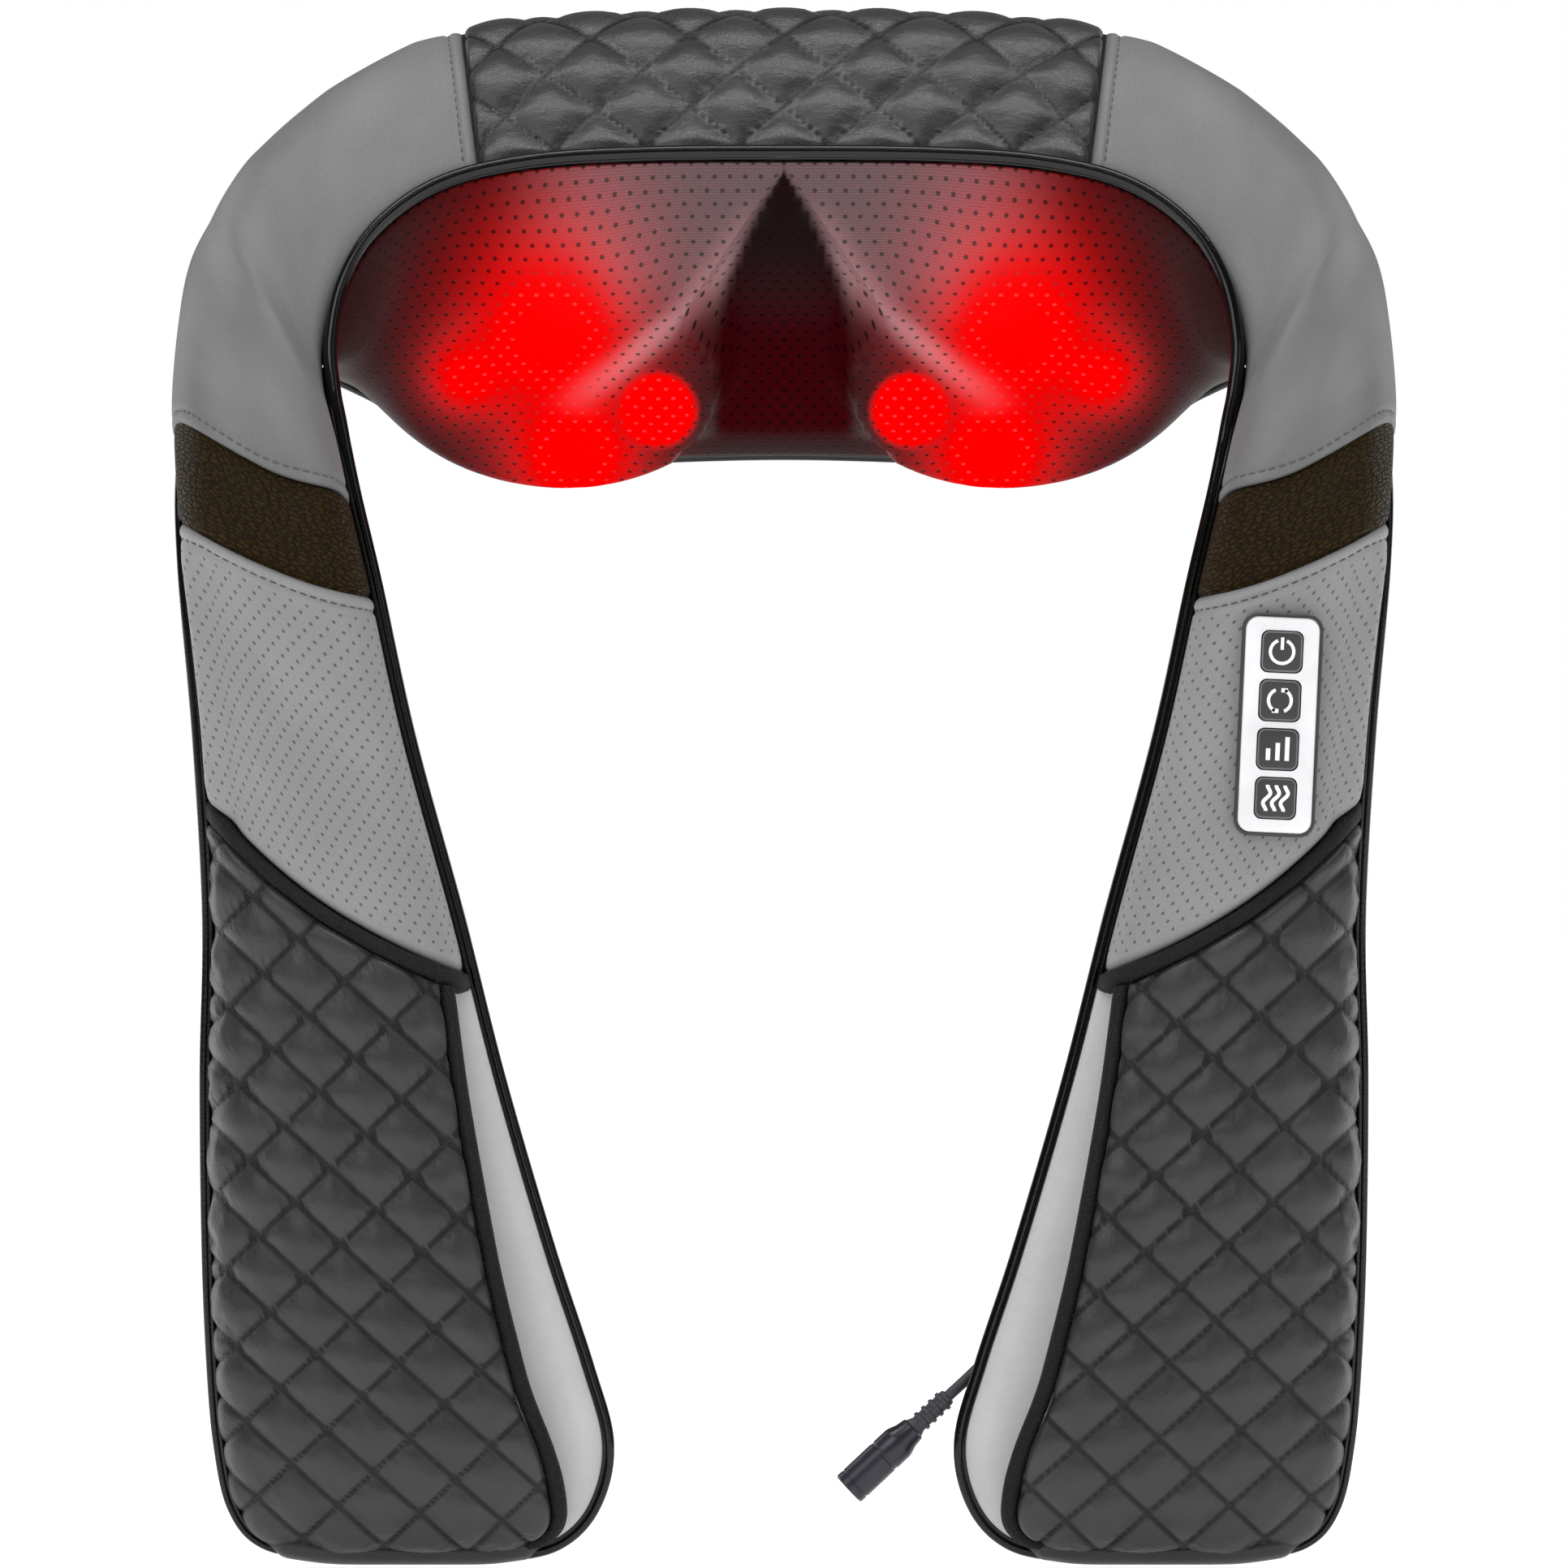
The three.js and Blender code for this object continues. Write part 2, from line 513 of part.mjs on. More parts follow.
// ---------- control panel, in its own frame: x across, y up the arm, z out of it ----------
function buildPanel() {
  const { width, height, depth, wall } = HOUSING;
  const rimHole = roundedBox(PANEL.width - 2.6, PANEL.height - 2.6, 6, 4).translate([0, 0, -1]);
  add("control_rim", roundedBox(PANEL.width, PANEL.height, 2.2, 5).subtract(rimHole), TRIM_LEATHER, panel);
  const holes = [1.5, 0.5, -0.5, -1.5].map((n) => n * BUTTON.pitch);
  let plate = roundedBox(PANEL.width - 3.4, PANEL.height - 3.4, 1.9, 3.7).translate([0, 0, 0.4]);
  for (const y of holes) {
    plate = plate.subtract(roundedBox(BUTTON.side + 0.6, BUTTON.side + 0.6, 6, 2.2).translate([0, y, -2]));
  }
  add("control_faceplate", plate, WHITE_PLASTIC, panel);
  const shell = roundedBox(width, height, depth, 2.6).translate([0, 0, -depth]);
  const hollow = roundedBox(width - 2 * wall, height - 2 * wall, depth, 1.6).translate([0, 0, wall - depth]);
  add("control_housing", shell.subtract(hollow), BLACK_PLASTIC, panel);
  add("control_board", box(width - 3.6, height - 3.6, 1.2).translate([0, 0, -7.6]), CIRCUIT, panel);
  ["power", "direction", "speed", "heat"].forEach((use, i) => {
    const cap = roundedBox(BUTTON.side, BUTTON.side, 3.4, 2).translate([0, holes[i], -0.4]);
    const stem = alongZ(cylinder(2.2, 5.4, 8)).translate([0, holes[i], -2.9]);
    add(`button_${use}`, cap.add(stem), BUTTON_PLASTIC, panel);
  });
}

// ---------- power cable ----------
function alongSocket(profile, sides) {
  const turn = new THREE.Quaternion().setFromUnitVectors(vec([0, 1, 0]), socketAxis);
  const place = new THREE.Matrix4().makeRotationFromQuaternion(turn).setPosition(socketTop);
  return lathe(profile, sides).transform(place.elements);
}

function buildCable() {
  const end = socketTop.clone().addScaledVector(socketAxis, -1.2);
  add("power_cable", cord([...cableRoute, end], CABLE_R, 14), BLACK_PLASTIC);
  const strain = [[0, 0], [2.6, 0]];
  for (let rib = 0; rib < 3; rib++) {
    const y = 1.5 + rib * 4;
    strain.push([3.3, y], [3.3, y + 1.8], [2.6, y + 2.2], [2.6, y + 3.4]);
  }
  strain.push([0, SOCKET.strain]);
  add("cable_strain_relief", alongSocket(strain, 10), BLACK_PLASTIC);
  const { r, bore, length } = SOCKET;
  const start = SOCKET.strain + GAP;
  const barrel = [[0, start], [3.8, start], [r, start + 5], [r, length], [bore, length], [bore, length - 9.5]];
  add("power_socket", alongSocket([...barrel, [0, length - 9.5]], 16), BLACK_PLASTIC);
}

// ---------- massage drive ----------
function trayShell() {
  let made = trayBlock(0, TRAY.z0).subtract(trayBlock(-TRAY.wall, 0));
  for (const side of [-1, 1]) {
    const seat = box(6, 14, 24).translate([side * BUSH_X, WORM_Y, WORM_Z - 5 + 12]);
    made = made.add(seat).subtract(alongX(cylinder(4.6, 8, 12)).translate([side * BUSH_X, WORM_Y, WORM_Z]));
    const boss = alongZ(cylinder(8, 11, 12)).translate([side * HEAD_X, HEAD_Y, 30.5]);
    made = made.add(boss).subtract(alongZ(cylinder(4.5, 10, 12)).translate([side * HEAD_X, HEAD_Y, 28.5]));
  }
  return made;
}

function frontPlate() {
  const middle = (TRAY.y0 + TRAY.y1) / 2;
  let made = box(TRAY.x, TRAY.y1 - TRAY.y0, 2.1).translate([0, middle, TRAY.z0 - 1.4]);
  made = made.subtract(box(MOTOR.length + 14, 2 * MOTOR.r + 1, 8).translate([0, WORM_Y, TRAY.z0]));
  for (const side of [-1, 1]) {
    made = made.subtract(alongZ(cylinder(4.5, 12, 12)).translate([side * HEAD_X, HEAD_Y, TRAY.z0]));
  }
  return made;
}

// A trapezoid thread wound on the worm shaft about x = centre.
function wormThread(centre, hand) {
  const turns = 2.6;
  const perTurn = 8;
  const steps = Math.round(turns * perTurn);
  const rings = [];
  for (let i = 0; i <= steps; i++) {
    const turn = i / perTurn - turns / 2;
    const angle = hand * turn * 2 * Math.PI;
    const x = centre + turn * THREAD_PITCH;
    const at = (r, offset) => vec([x + offset, WORM_Y + r * Math.cos(angle), WORM_Z + r * Math.sin(angle)]);
    rings.push([at(3.4, -0.8), at(6.5, -0.38), at(6.5, 0.38), at(3.4, 0.8)]);
  }
  return loft(rings);
}

function wormShaft() {
  let made = alongX(cylinder(SHAFT_R, 2 * BUSH_X + 6, 10)).translate([0, WORM_Y, WORM_Z]);
  for (const side of [-1, 1]) {
    const core = alongX(cylinder(4.1, 20, 10)).translate([side * HEAD_X, WORM_Y, WORM_Z]);
    made = made.add(core).add(wormThread(side * HEAD_X, side));
  }
  return made;
}

// A wheel with straight trapezoid teeth, a gap between two of them facing the worm.
function wormWheel() {
  const outline = new THREE.Shape();
  const pitch = (2 * Math.PI) / WHEEL_TEETH;
  for (let tooth = 0; tooth < WHEEL_TEETH; tooth++) {
    const centre = (tooth + 0.5) * pitch - Math.PI / 2;
    for (const [r, half] of [[20.5, -0.85], [22.9, -0.4], [22.9, 0.4], [20.5, 0.85]]) {
      const angle = centre + half / r;
      const move = tooth === 0 && r === 20.5 && half < 0 ? "moveTo" : "lineTo";
      outline[move](r * Math.cos(angle), r * Math.sin(angle));
    }
  }
  outline.closePath();
  outline.holes.push(new THREE.Path().absarc(0, 0, 4.4, 0, 2 * Math.PI, true));
  return solid(new THREE.ExtrudeGeometry(outline, { depth: 6, bevelEnabled: false, curveSegments: 6 }));
}

// Where a head carries its nodes: two big ones in line with the pad's slope, two small ones across it.
const turned = (degrees) => THREE.MathUtils.degToRad(degrees);
const NODE_SPOTS = [
  { name: "big_node_upper", r: BIG_NODE_R, angle: turned(-83) },
  { name: "big_node_lower", r: BIG_NODE_R, angle: turned(97) },
  { name: "small_node_inner", r: SMALL_NODE_R, angle: turned(164) },
  { name: "small_node_outer", r: SMALL_NODE_R, angle: turned(-16) },
];

function headPlate() {
  const middle = HEAD_PLATE.z + HEAD_PLATE.thick / 2;
  let made = alongZ(cylinder(12, HEAD_PLATE.thick, 12)).translate([0, 0, middle]);
  for (const spot of NODE_SPOTS) {
    const arm = box(ARM_R, 13, HEAD_PLATE.thick).translate([ARM_R / 2, 0, middle]);
    const pad = alongZ(cylinder(spot.r - 2.5, HEAD_PLATE.thick, 12)).translate([ARM_R, 0, middle]);
    made = made.add(arm.add(pad).rotate([0, 0, THREE.MathUtils.radToDeg(spot.angle)]));
  }
  return made.add(alongZ(cylinder(4, 27, 12)).translate([0, 0, HEAD_PLATE.z + 15]));
}

// A mushroom cap: a skirt that widens into a round crown.
function massageNode(r) {
  const seat = HEAD_PLATE.z - GAP;
  const crown = seat - NODE_Z - (BIG_NODE_R - r) * 0.5;
  const profile = [[0, 0], [r * 0.72, 0], [r * 0.78, 4]];
  for (let i = 0; i <= 5; i++) {
    const angle = turned(-18 + (108 * i) / 5);
    profile.push([i < 5 ? r * Math.cos(angle) : 0, crown + r * Math.sin(angle)]);
  }
  return lathe(profile, 10).rotate([-90, 0, 0]).translate([0, 0, seat]);
}

function buildHead(label, side) {
  const put = (name, made, material) => {
    add(`${name}_${label}`, sided(made, side).translate([side * HEAD_X, HEAD_Y, 0]), material, drive);
  };
  put("worm_wheel", wormWheel().translate([0, 0, WORM_Z - 3]), NYLON);
  put("head_plate", headPlate(), GREY_PLASTIC);
  const lamp = alongZ(cylinder(40, 0.9, 20)).subtract(alongZ(cylinder(9, 4, 12)));
  put("lamp_board", lamp.translate([0, 0, HEAD_PLATE.z + HEAD_PLATE.thick + 1]), CIRCUIT);
  for (const { name, r, angle } of NODE_SPOTS) {
    put(name, massageNode(r).translate([ARM_R * Math.cos(angle), ARM_R * Math.sin(angle), 0]), RED_LENS);
  }
  const bush = alongX(cylinder(4.2, 6, 12)).subtract(alongX(cylinder(SHAFT_R + 0.3, 10, 10)));
  add(`shaft_bush_${label}`, bush.translate([side * BUSH_X, WORM_Y, WORM_Z]), BRASS, drive);
}

function buildDrive() {
  add("drive_tray", trayShell(), BLACK_PLASTIC, drive);
  add("drive_front_plate", frontPlate(), BLACK_PLASTIC, drive);
  const bore = alongX(cylinder(SHAFT_R + 0.4, 80, 10));
  const can = alongX(cylinder(MOTOR.r, MOTOR.length - 5, 20)).subtract(bore);
  add("motor_can", can.translate([-2.5, WORM_Y, WORM_Z]), STEEL, drive);
  const cap = alongX(cylinder(MOTOR.r, 4.6, 20)).subtract(bore);
  add("motor_end_cap", cap.translate([MOTOR.length / 2 - 2.3, WORM_Y, WORM_Z]), BLACK_PLASTIC, drive);
  add("worm_shaft", wormShaft(), STEEL, drive);
}

buildCollar();
for (const [label, side] of SIDES) buildArm(label, side);
buildPanel();
buildCable();
buildDrive();
for (const [label, side] of SIDES) buildHead(label, side);

export default massager;
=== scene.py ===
# Shiatsu neck massager: the fine covers, seams, piping and finishes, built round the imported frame.
# Lengths are drawing millimetres (x across, y to the back, z up, arms' ends at z = 0) until a mesh is made.
import json
import math

import bpy
import numpy as np
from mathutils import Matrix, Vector
from mathutils.geometry import tessellate_polygon


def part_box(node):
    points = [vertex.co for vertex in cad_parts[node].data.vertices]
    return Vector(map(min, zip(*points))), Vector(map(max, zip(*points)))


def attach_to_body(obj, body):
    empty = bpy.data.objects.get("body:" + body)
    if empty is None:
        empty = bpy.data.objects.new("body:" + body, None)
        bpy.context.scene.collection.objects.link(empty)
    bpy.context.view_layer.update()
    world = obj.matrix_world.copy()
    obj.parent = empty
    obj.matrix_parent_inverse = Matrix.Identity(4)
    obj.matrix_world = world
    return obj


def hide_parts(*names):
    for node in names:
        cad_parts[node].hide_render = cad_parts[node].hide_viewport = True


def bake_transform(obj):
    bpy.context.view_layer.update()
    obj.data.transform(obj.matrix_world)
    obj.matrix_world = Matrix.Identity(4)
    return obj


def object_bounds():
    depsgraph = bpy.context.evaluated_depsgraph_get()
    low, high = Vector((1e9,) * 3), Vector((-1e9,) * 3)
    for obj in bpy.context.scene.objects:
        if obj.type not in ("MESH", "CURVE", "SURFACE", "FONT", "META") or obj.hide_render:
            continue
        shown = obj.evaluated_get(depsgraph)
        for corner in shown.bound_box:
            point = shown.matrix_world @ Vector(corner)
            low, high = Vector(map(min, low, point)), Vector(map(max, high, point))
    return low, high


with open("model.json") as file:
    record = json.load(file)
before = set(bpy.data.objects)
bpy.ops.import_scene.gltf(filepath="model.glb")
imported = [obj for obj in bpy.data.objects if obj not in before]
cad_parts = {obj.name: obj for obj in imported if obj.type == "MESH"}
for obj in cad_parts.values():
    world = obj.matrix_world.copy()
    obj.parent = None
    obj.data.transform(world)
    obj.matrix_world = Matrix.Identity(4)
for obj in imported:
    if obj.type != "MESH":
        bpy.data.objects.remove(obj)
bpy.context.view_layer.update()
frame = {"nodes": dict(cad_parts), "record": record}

# ---------- driving dimensions ----------
ORIGIN = np.array([0.0, 76.6, -0.3])  # the frame's origin in the drawing
SIDES = ("left", "right")  # everything is drawn on the right and mirrored for the left

# Half of the padded body, from the middle of the collar to the end of an arm: the inner edge, the outer
# edge, the outer cover's height above the line between them, the inner cover's depth, the dome's squareness.
STATIONS = [
    ((0, 34, 435.5), (0, 154, 346), 76, 4, 3.4),
    ((46, 33, 435), (40, 154, 345), 76, 4, 3.4),
    ((80, 31, 432.5), (72, 153, 343), 76, 4, 3.4),
    ((106, 28, 426), (96, 150, 347), 73, 4, 3.3),
    ((125, 24, 413), (115, 145, 356), 65, 4, 3.2),
    ((136, 19, 396), (130, 138, 365), 57, 4, 3.0),
    ((140.5, 13, 377), (147, 122, 371), 52, 4, 2.9),
    ((140, 9, 361), (167, 90, 368), 44, 5, 2.7),
    ((137.5, 6, 346), (181, 45, 356), 33, 8, 2.6),
    ((134, 4, 330), (184.5, 13, 337), 25, 11, 2.4),
    ((127.5, 3, 303), (183.8, 5, 307), 22, 12, 2.3),
    ((117, 3, 255), (179.3, 3, 256), 21, 12, 2.3),
    ((102, 3, 200), (176.2, 3, 200), 24, 12, 2.3),
    ((89.3, 3, 150), (177, 3, 150), 27, 12, 2.3),
    ((74.1, 3, 98), (176.4, 3, 98), 28, 12, 2.3),
    ((62.3, 3, 62), (174.9, 3, 62), 27, 12, 2.3),
    ((56, 3, 38), (172.8, 3, 38), 24, 12, 2.3),
    ((60, 3, 19.5), (168.6, 3, 19), 19, 10, 2.2),
    ((71, 3, 8.5), (159.5, 3, 8.5), 12, 7, 2.1),
    ((90, 3, 4.6), (140, 3, 4.6), 6, 5, 2),
]
LAST = len(STATIONS) - 1
CREST = 0.82  # below 1, the dome's highest line lies nearer to the inner edge
QUILT_END = 2.5  # the station where the collar's quilting ends
MESH_END = 8.6  # the station where the mesh cover ends
TRIM = 0.13  # the pocket trim's height, in stations
BINDING = 0.045  # the pocket binding's share of the arm's width
GROOVE = 0.004  # half of the gap at a seam, in stations
TAPE_HALF = 0.06  # the same for the tape behind a seam
BAND_OVERLAP = 0.03  # how far the accent band runs under the shoulder panel
BULGE_HEIGHT, BULGE_STATION, BULGE_REACH = 4.2, 8.2, 1.6  # the padding that swells round the shoulder
QUILT_DROP = 0.9  # how far the quilted covers lie below the body's surface
FAR_FROM_SEAM = 9.0  # millimetres, for pieces that have no seam or stitch line for the painted shade to darken towards

# Drive frame: x across, y down the pad from the neck rim, z out to the back.
PAD_TILT = -math.atan2(89.5, 120)
HEAD_X, HEAD_Y = 69, 88
SWEPT_R = 48  # the ring that the turning nodes sweep
COVER_REACH = 24.5  # how far the cover over a head stands out from the drive's plane
NODE_CIRCLE = 31  # the massage nodes' distance from the head's axis

PIPING_GAP = 0.6
PIPING_INNER_R = 2.2
PIPING_OUTER_R = 1.7



def level(value):
    """A seam straight across the body, or an edge at one share of its width."""
    return lambda at: 0 * at + value


def beside(seam, shift):
    """A line along a seam, some stations after it."""
    return lambda v: seam(v) + shift


zero, half, one = level(0), level(0.5), level(1)


def band_top_seam(v):
    return 9.18 + 0.4 * v - 0.93 * v * v


def band_end_seam(v):
    return 10.1 - 0.52 * v * v


def pocket_top_seam(v):
    return 12.32 - 0.55 * v - 0.42 * v * v


POCKET_LINE = ((12, 0.03), (13.1, 0.09), (13.6, 0.12), (14.6, 0.15), (15.7, 0.15), (17, 0.06), (17.8, 0))


def pocket_edge(k):
    """The pocket's free edge across the arm: a curve through the line above, rounded at its corners."""
    around = np.asarray(k, float)[..., None] + np.linspace(-0.6, 0.6, 13)
    return np.interp(around, *zip(*POCKET_LINE)).mean(-1)


# ---------- the padded body's surfaces ----------
def edge_points(index):
    points = np.array([s[index] for s in STATIONS], float)
    before = points[1] * [-1, 1, 1]
    return np.vstack([before, points])


EDGES = {"inner": edge_points(0), "outer": edge_points(1)}


def on_edge(edge, k):
    """The points at stations k of one edge, on a uniform Catmull-Rom curve."""
    points = EDGES[edge]
    at = np.asarray(k, float) + 1
    i = np.clip(np.floor(at).astype(int), 0, len(points) - 2)
    t = (at - i)[..., None]
    first, second = points[i], points[i + 1]
    before = np.where((i > 0)[..., None], points[np.maximum(i - 1, 0)], 2 * first - second)
    inside = (i + 2 < len(points))[..., None]
    after = np.where(inside, points[np.minimum(i + 2, len(points) - 1)], 2 * second - first)
    m0, m1 = (second - before) / 2, (after - first) / 2
    a = 2 * first - 2 * second + m0 + m1
    b = -3 * first + 3 * second - 2 * m0 - m1
    return ((a * t + b) * t + m0) * t + first


def unit(a):
    return a / np.maximum(np.linalg.norm(a, axis=-1, keepdims=True), 1e-12)


class Section:
    """Sections of the body at stations k: the inner edge, the width, the chord and the outward normal."""

    def __init__(self, k):
        k = np.asarray(k, float)
        self.inner = on_edge("inner", k)
        across = on_edge("outer", k) - self.inner
        self.width = np.linalg.norm(across, axis=-1)
        self.chord = unit(across)
        back, ahead = k - 0.05, np.minimum(LAST, k + 0.05)
        travel = sum(on_edge(e, ahead) - on_edge(e, back) for e in EDGES)
        self.normal = unit(np.cross(travel, self.chord))
        knots = np.arange(len(STATIONS))
        profile = [np.interp(k, knots, [s[i] for s in STATIONS]) for i in (2, 3, 4)]
        self.front, self.back, self.square = profile

    def point(self, v, height, inset=0.0):
        along = inset + (self.width - 2 * inset) * v
        return self.inner + self.chord * along[..., None] + self.normal * height[..., None]


def dome(v, n):
    return np.maximum(0, 1 - np.abs(2 * v - 1) ** n) ** (1 / n)


def front_surface(k, v):
    s = Section(np.abs(k))
    return mirrored(s.point(v, s.front * dome(v**CREST, s.square) + 0.2), k < 0)


def back_surface(k, v):
    s = Section(np.abs(k))
    return mirrored(s.point(v, -s.back * np.minimum(0.96, dome(v, 3)) - 0.2), k < 0)


def mirrored(points, where):
    return points * np.where(np.asarray(where)[..., None], [-1, 1, 1], [1, 1, 1])


# ---------- grids of points ----------
def spaced(length, step, fine=(0.25, 0.8, 1.6, 2.8)):
    """Shares of a length: crowded at both ends so that rolled edges are round, even between."""
    ends = [f for f in fine if f < length / 3]
    start = ends[-1] if ends else 0
    count = max(2, round((length - 2 * start) / step))
    middle = list(np.linspace(start, length - start, count + 1))
    return np.array([0, *ends[:-1], *middle, *[length - e for e in ends[:-1][::-1]], length]) / length


def distances(base):
    """Millimetres over a grid of points: along each row, and from row to row."""
    across = np.linalg.norm(np.diff(base, axis=1), axis=2)
    along = np.linalg.norm(np.diff(base, axis=0), axis=2)
    return np.pad(np.cumsum(across, 1), ((0, 0), (1, 0))), np.pad(np.cumsum(along, 0), ((1, 0), (0, 0)))


class Grid:
    """A grid of surface points: rows run along a seam (v) and follow each other along the body (k)."""

    def __init__(self, surface, k0, k1, v0=zero, v1=one, step=2.0, columns=None, rows=None):
        ends = np.linspace(0, 1, 33)
        self.length = self.measure(surface, (1 - ends) * k0(0.5) + ends * k1(0.5), 0 * ends + 0.5)[-1]
        rows = spaced(self.length, step) if rows is None else rows
        middle = 0.5 * (k0(0.5) + k1(0.5))
        fine = (1 - np.cos(np.pi * np.linspace(0, 1, 241))) / 2
        span = self.measure(surface, 0 * fine + middle, v0(middle) + (v1(middle) - v0(middle)) * fine)[-1]
        columns = spaced(span, step) if columns is None else columns
        stations, places = [], []
        for share in rows:
            row = lambda v: (1 - share) * k0(v) + share * k1(v)
            first, last = v0(row(0.0)), v1(row(0.0))
            v = first + (last - first) * fine
            arc = self.measure(surface, row(v), v)
            at = np.interp(columns * arc[-1], arc, v)
            stations.append(row(at))
            places.append(at)
        self.k, self.v = np.array(stations), np.array(places)
        self.surface = surface
        self.base = surface(self.k, self.v)
        self.refresh()

    @staticmethod
    def measure(surface, k, v):
        steps = np.linalg.norm(np.diff(surface(k, v), axis=0), axis=1)
        return np.concatenate([[0], np.cumsum(steps)])

    def refresh(self):
        self.across, self.along = distances(self.base)
        self.normal = unit(np.cross(np.gradient(self.base, axis=0), np.gradient(self.base, axis=1)))
        self.start, self.end = self.along, self.along[-1:] - self.along
        self.inner, self.outer = self.across, self.across[:, -1:] - self.across
        self.edge = np.minimum(np.minimum(self.start, self.end), np.minimum(self.inner, self.outer))

    def face_out(self, direction):
        """Turns the normals so that most of them point along a direction."""
        if (self.normal * direction).sum() < 0:
            self.normal = -self.normal
        return self

    def raised(self, height):
        return self.base + self.normal * height[..., None]


def roll(distance, radius):
    """How far a rolled edge has dropped at a distance from it."""
    share = np.clip(1 - distance / radius, 0, 1)
    return radius * (1 - np.sqrt(np.maximum(0, 1 - share**2)))


# ---------- meshes ----------
def to_frame(points):
    return (np.asarray(points, float) - ORIGIN) / 1000


def placed(name, data):
    """A new object in the scene."""
    obj = bpy.data.objects.new(name, data)
    bpy.context.collection.objects.link(obj)
    return obj


def make_object(name, points, faces, material, uv=None, values=None, smooth=True):
    """A mesh object from drawing points. uv and values are per vertex, in millimetres."""
    mesh = bpy.data.meshes.new(name)
    mesh.from_pydata(to_frame(points).tolist(), [], [tuple(map(int, f)) for f in faces])
    if uv is not None:
        corner = np.empty(len(mesh.loops), int)
        mesh.loops.foreach_get("vertex_index", corner)
        mesh.uv_layers.new(name="fabric").data.foreach_set("uv", np.asarray(uv, np.float32)[corner].ravel())
    for key, value in (values or {}).items():
        layer = mesh.attributes.new(key, "FLOAT", "POINT")
        layer.data.foreach_set("value", np.asarray(value, np.float32).ravel())
    mesh.polygons.foreach_set("use_smooth", [smooth] * len(mesh.polygons))
    mesh.update()
    mesh.materials.append(material)
    return placed(name, mesh)


def quads(rows, columns, start=0, flip=False):
    i, j = np.meshgrid(np.arange(rows - 1), np.arange(columns - 1), indexing="ij")
    a = (start + i * columns + j).ravel()
    corners = [a, a + columns, a + columns + 1, a + 1]
    return np.stack(corners[::-1] if flip else corners, 1)


def facing_out(grid, points, faces):
    """The faces between a grid's points, turned the way the grid's normals point."""
    turn = np.cross(points[1, 0] - points[0, 0], points[0, 1] - points[0, 0])
    return faces[:, ::-1] if (turn * grid.normal[0, 0]).sum() < 0 else faces


def sheet(name, grid, height, material, thick=1.6, values=None, mirror=False):
    """A closed sheet on a grid: its outer face at a height above the surface, its inner face below it."""
    rows, columns = grid.k.shape
    top = grid.raised(height)
    under = grid.raised(height - thick)
    count = rows * columns
    rim = [np.arange(columns), np.arange(1, rows) * columns + columns - 1]
    rim += [(rows - 1) * columns + np.arange(columns - 2, -1, -1), np.arange(rows - 2, 0, -1) * columns]
    ring = np.concatenate(rim)
    after = np.roll(ring, -1)
    walls = np.stack([ring, after, after + count, ring + count], 1)
    faces = np.vstack([quads(rows, columns), quads(rows, columns, count, True), walls])
    faces = facing_out(grid, top, faces)
    points = np.vstack([top.reshape(-1, 3), under.reshape(-1, 3)])
    if mirror:
        points = points * [-1, 1, 1]
        faces = faces[:, ::-1]
    uv = np.stack([grid.across.ravel(), grid.along.ravel()], 1)
    values = {"edge": grid.edge, "start": grid.start, "end": grid.end, **(values or {})}
    doubled = {key: np.concatenate([np.ravel(a), np.ravel(a)]) for key, a in values.items()}
    return make_object(name, points, faces, material, np.vstack([uv, uv]), doubled)


def ring_faces(rings, sides, start=0):
    """Faces between rings of points that follow each other."""
    i, j = np.meshgrid(np.arange(rings - 1), np.arange(sides), indexing="ij")
    a, b = (start + i * sides + j).ravel(), (start + i * sides + (j + 1) % sides).ravel()
    return np.stack([a, b, b + sides, a + sides], 1)


def closed_faces(rings, sides):
    """The same as a list, with a cap on each end."""
    last = (rings - 1) * sides
    caps = [tuple(range(sides))[::-1], tuple(range(last, last + sides))]
    return [tuple(f) for f in ring_faces(rings, sides)] + caps


def tube(path, up, radius, sides, tall=1.0):
    """A closed tube along a path. radius is one number or one for each point; tall stretches it along up."""
    path = np.asarray(path, float)
    travel = unit(np.gradient(path, axis=0))
    across = unit(np.cross(travel, up))
    square = np.cross(across, travel)
    angle = np.linspace(0, 2 * np.pi, sides, endpoint=False)
    size = np.broadcast_to(radius, len(path))[:, None, None]
    ring = across[:, None] * np.cos(angle)[:, None] + square[:, None] * np.sin(angle)[:, None] * tall
    points = (path[:, None] + ring * size).reshape(-1, 3)
    length = np.concatenate([[0], np.cumsum(np.linalg.norm(np.diff(path, axis=0), axis=1))])
    uv = np.stack([np.tile(np.arange(sides) * 1.0, len(path)), np.repeat(length, sides)], 1)
    return points, closed_faces(len(path), sides), uv


def lathe(axis_start, axis, profile, sides=40):
    """Points and faces of a closed turned piece: profile is (distance along the axis, radius) pairs."""
    axis = unit(np.asarray(axis, float))
    side = unit(np.cross(axis, [0.31, 1, 0.2]))
    other = np.cross(axis, side)
    angle = np.linspace(0, 2 * np.pi, sides, endpoint=False)
    ring = side * np.cos(angle)[:, None] + other * np.sin(angle)[:, None]
    points = np.vstack([np.asarray(axis_start) + axis * d + ring * r for d, r in profile])
    return points, closed_faces(len(profile), sides)


def joined(parts):
    """Several (points, faces) shapes as one."""
    points, faces, start = [], [], 0
    for part in parts:
        points.append(part[0])
        faces += [tuple(start + i for i in f) for f in part[1]]
        start += len(part[0])
    return np.vstack(points), faces


def flipped(points, faces):
    """A shape's mirror image on the other side of the body."""
    return points * [-1, 1, 1], [f[::-1] for f in faces]


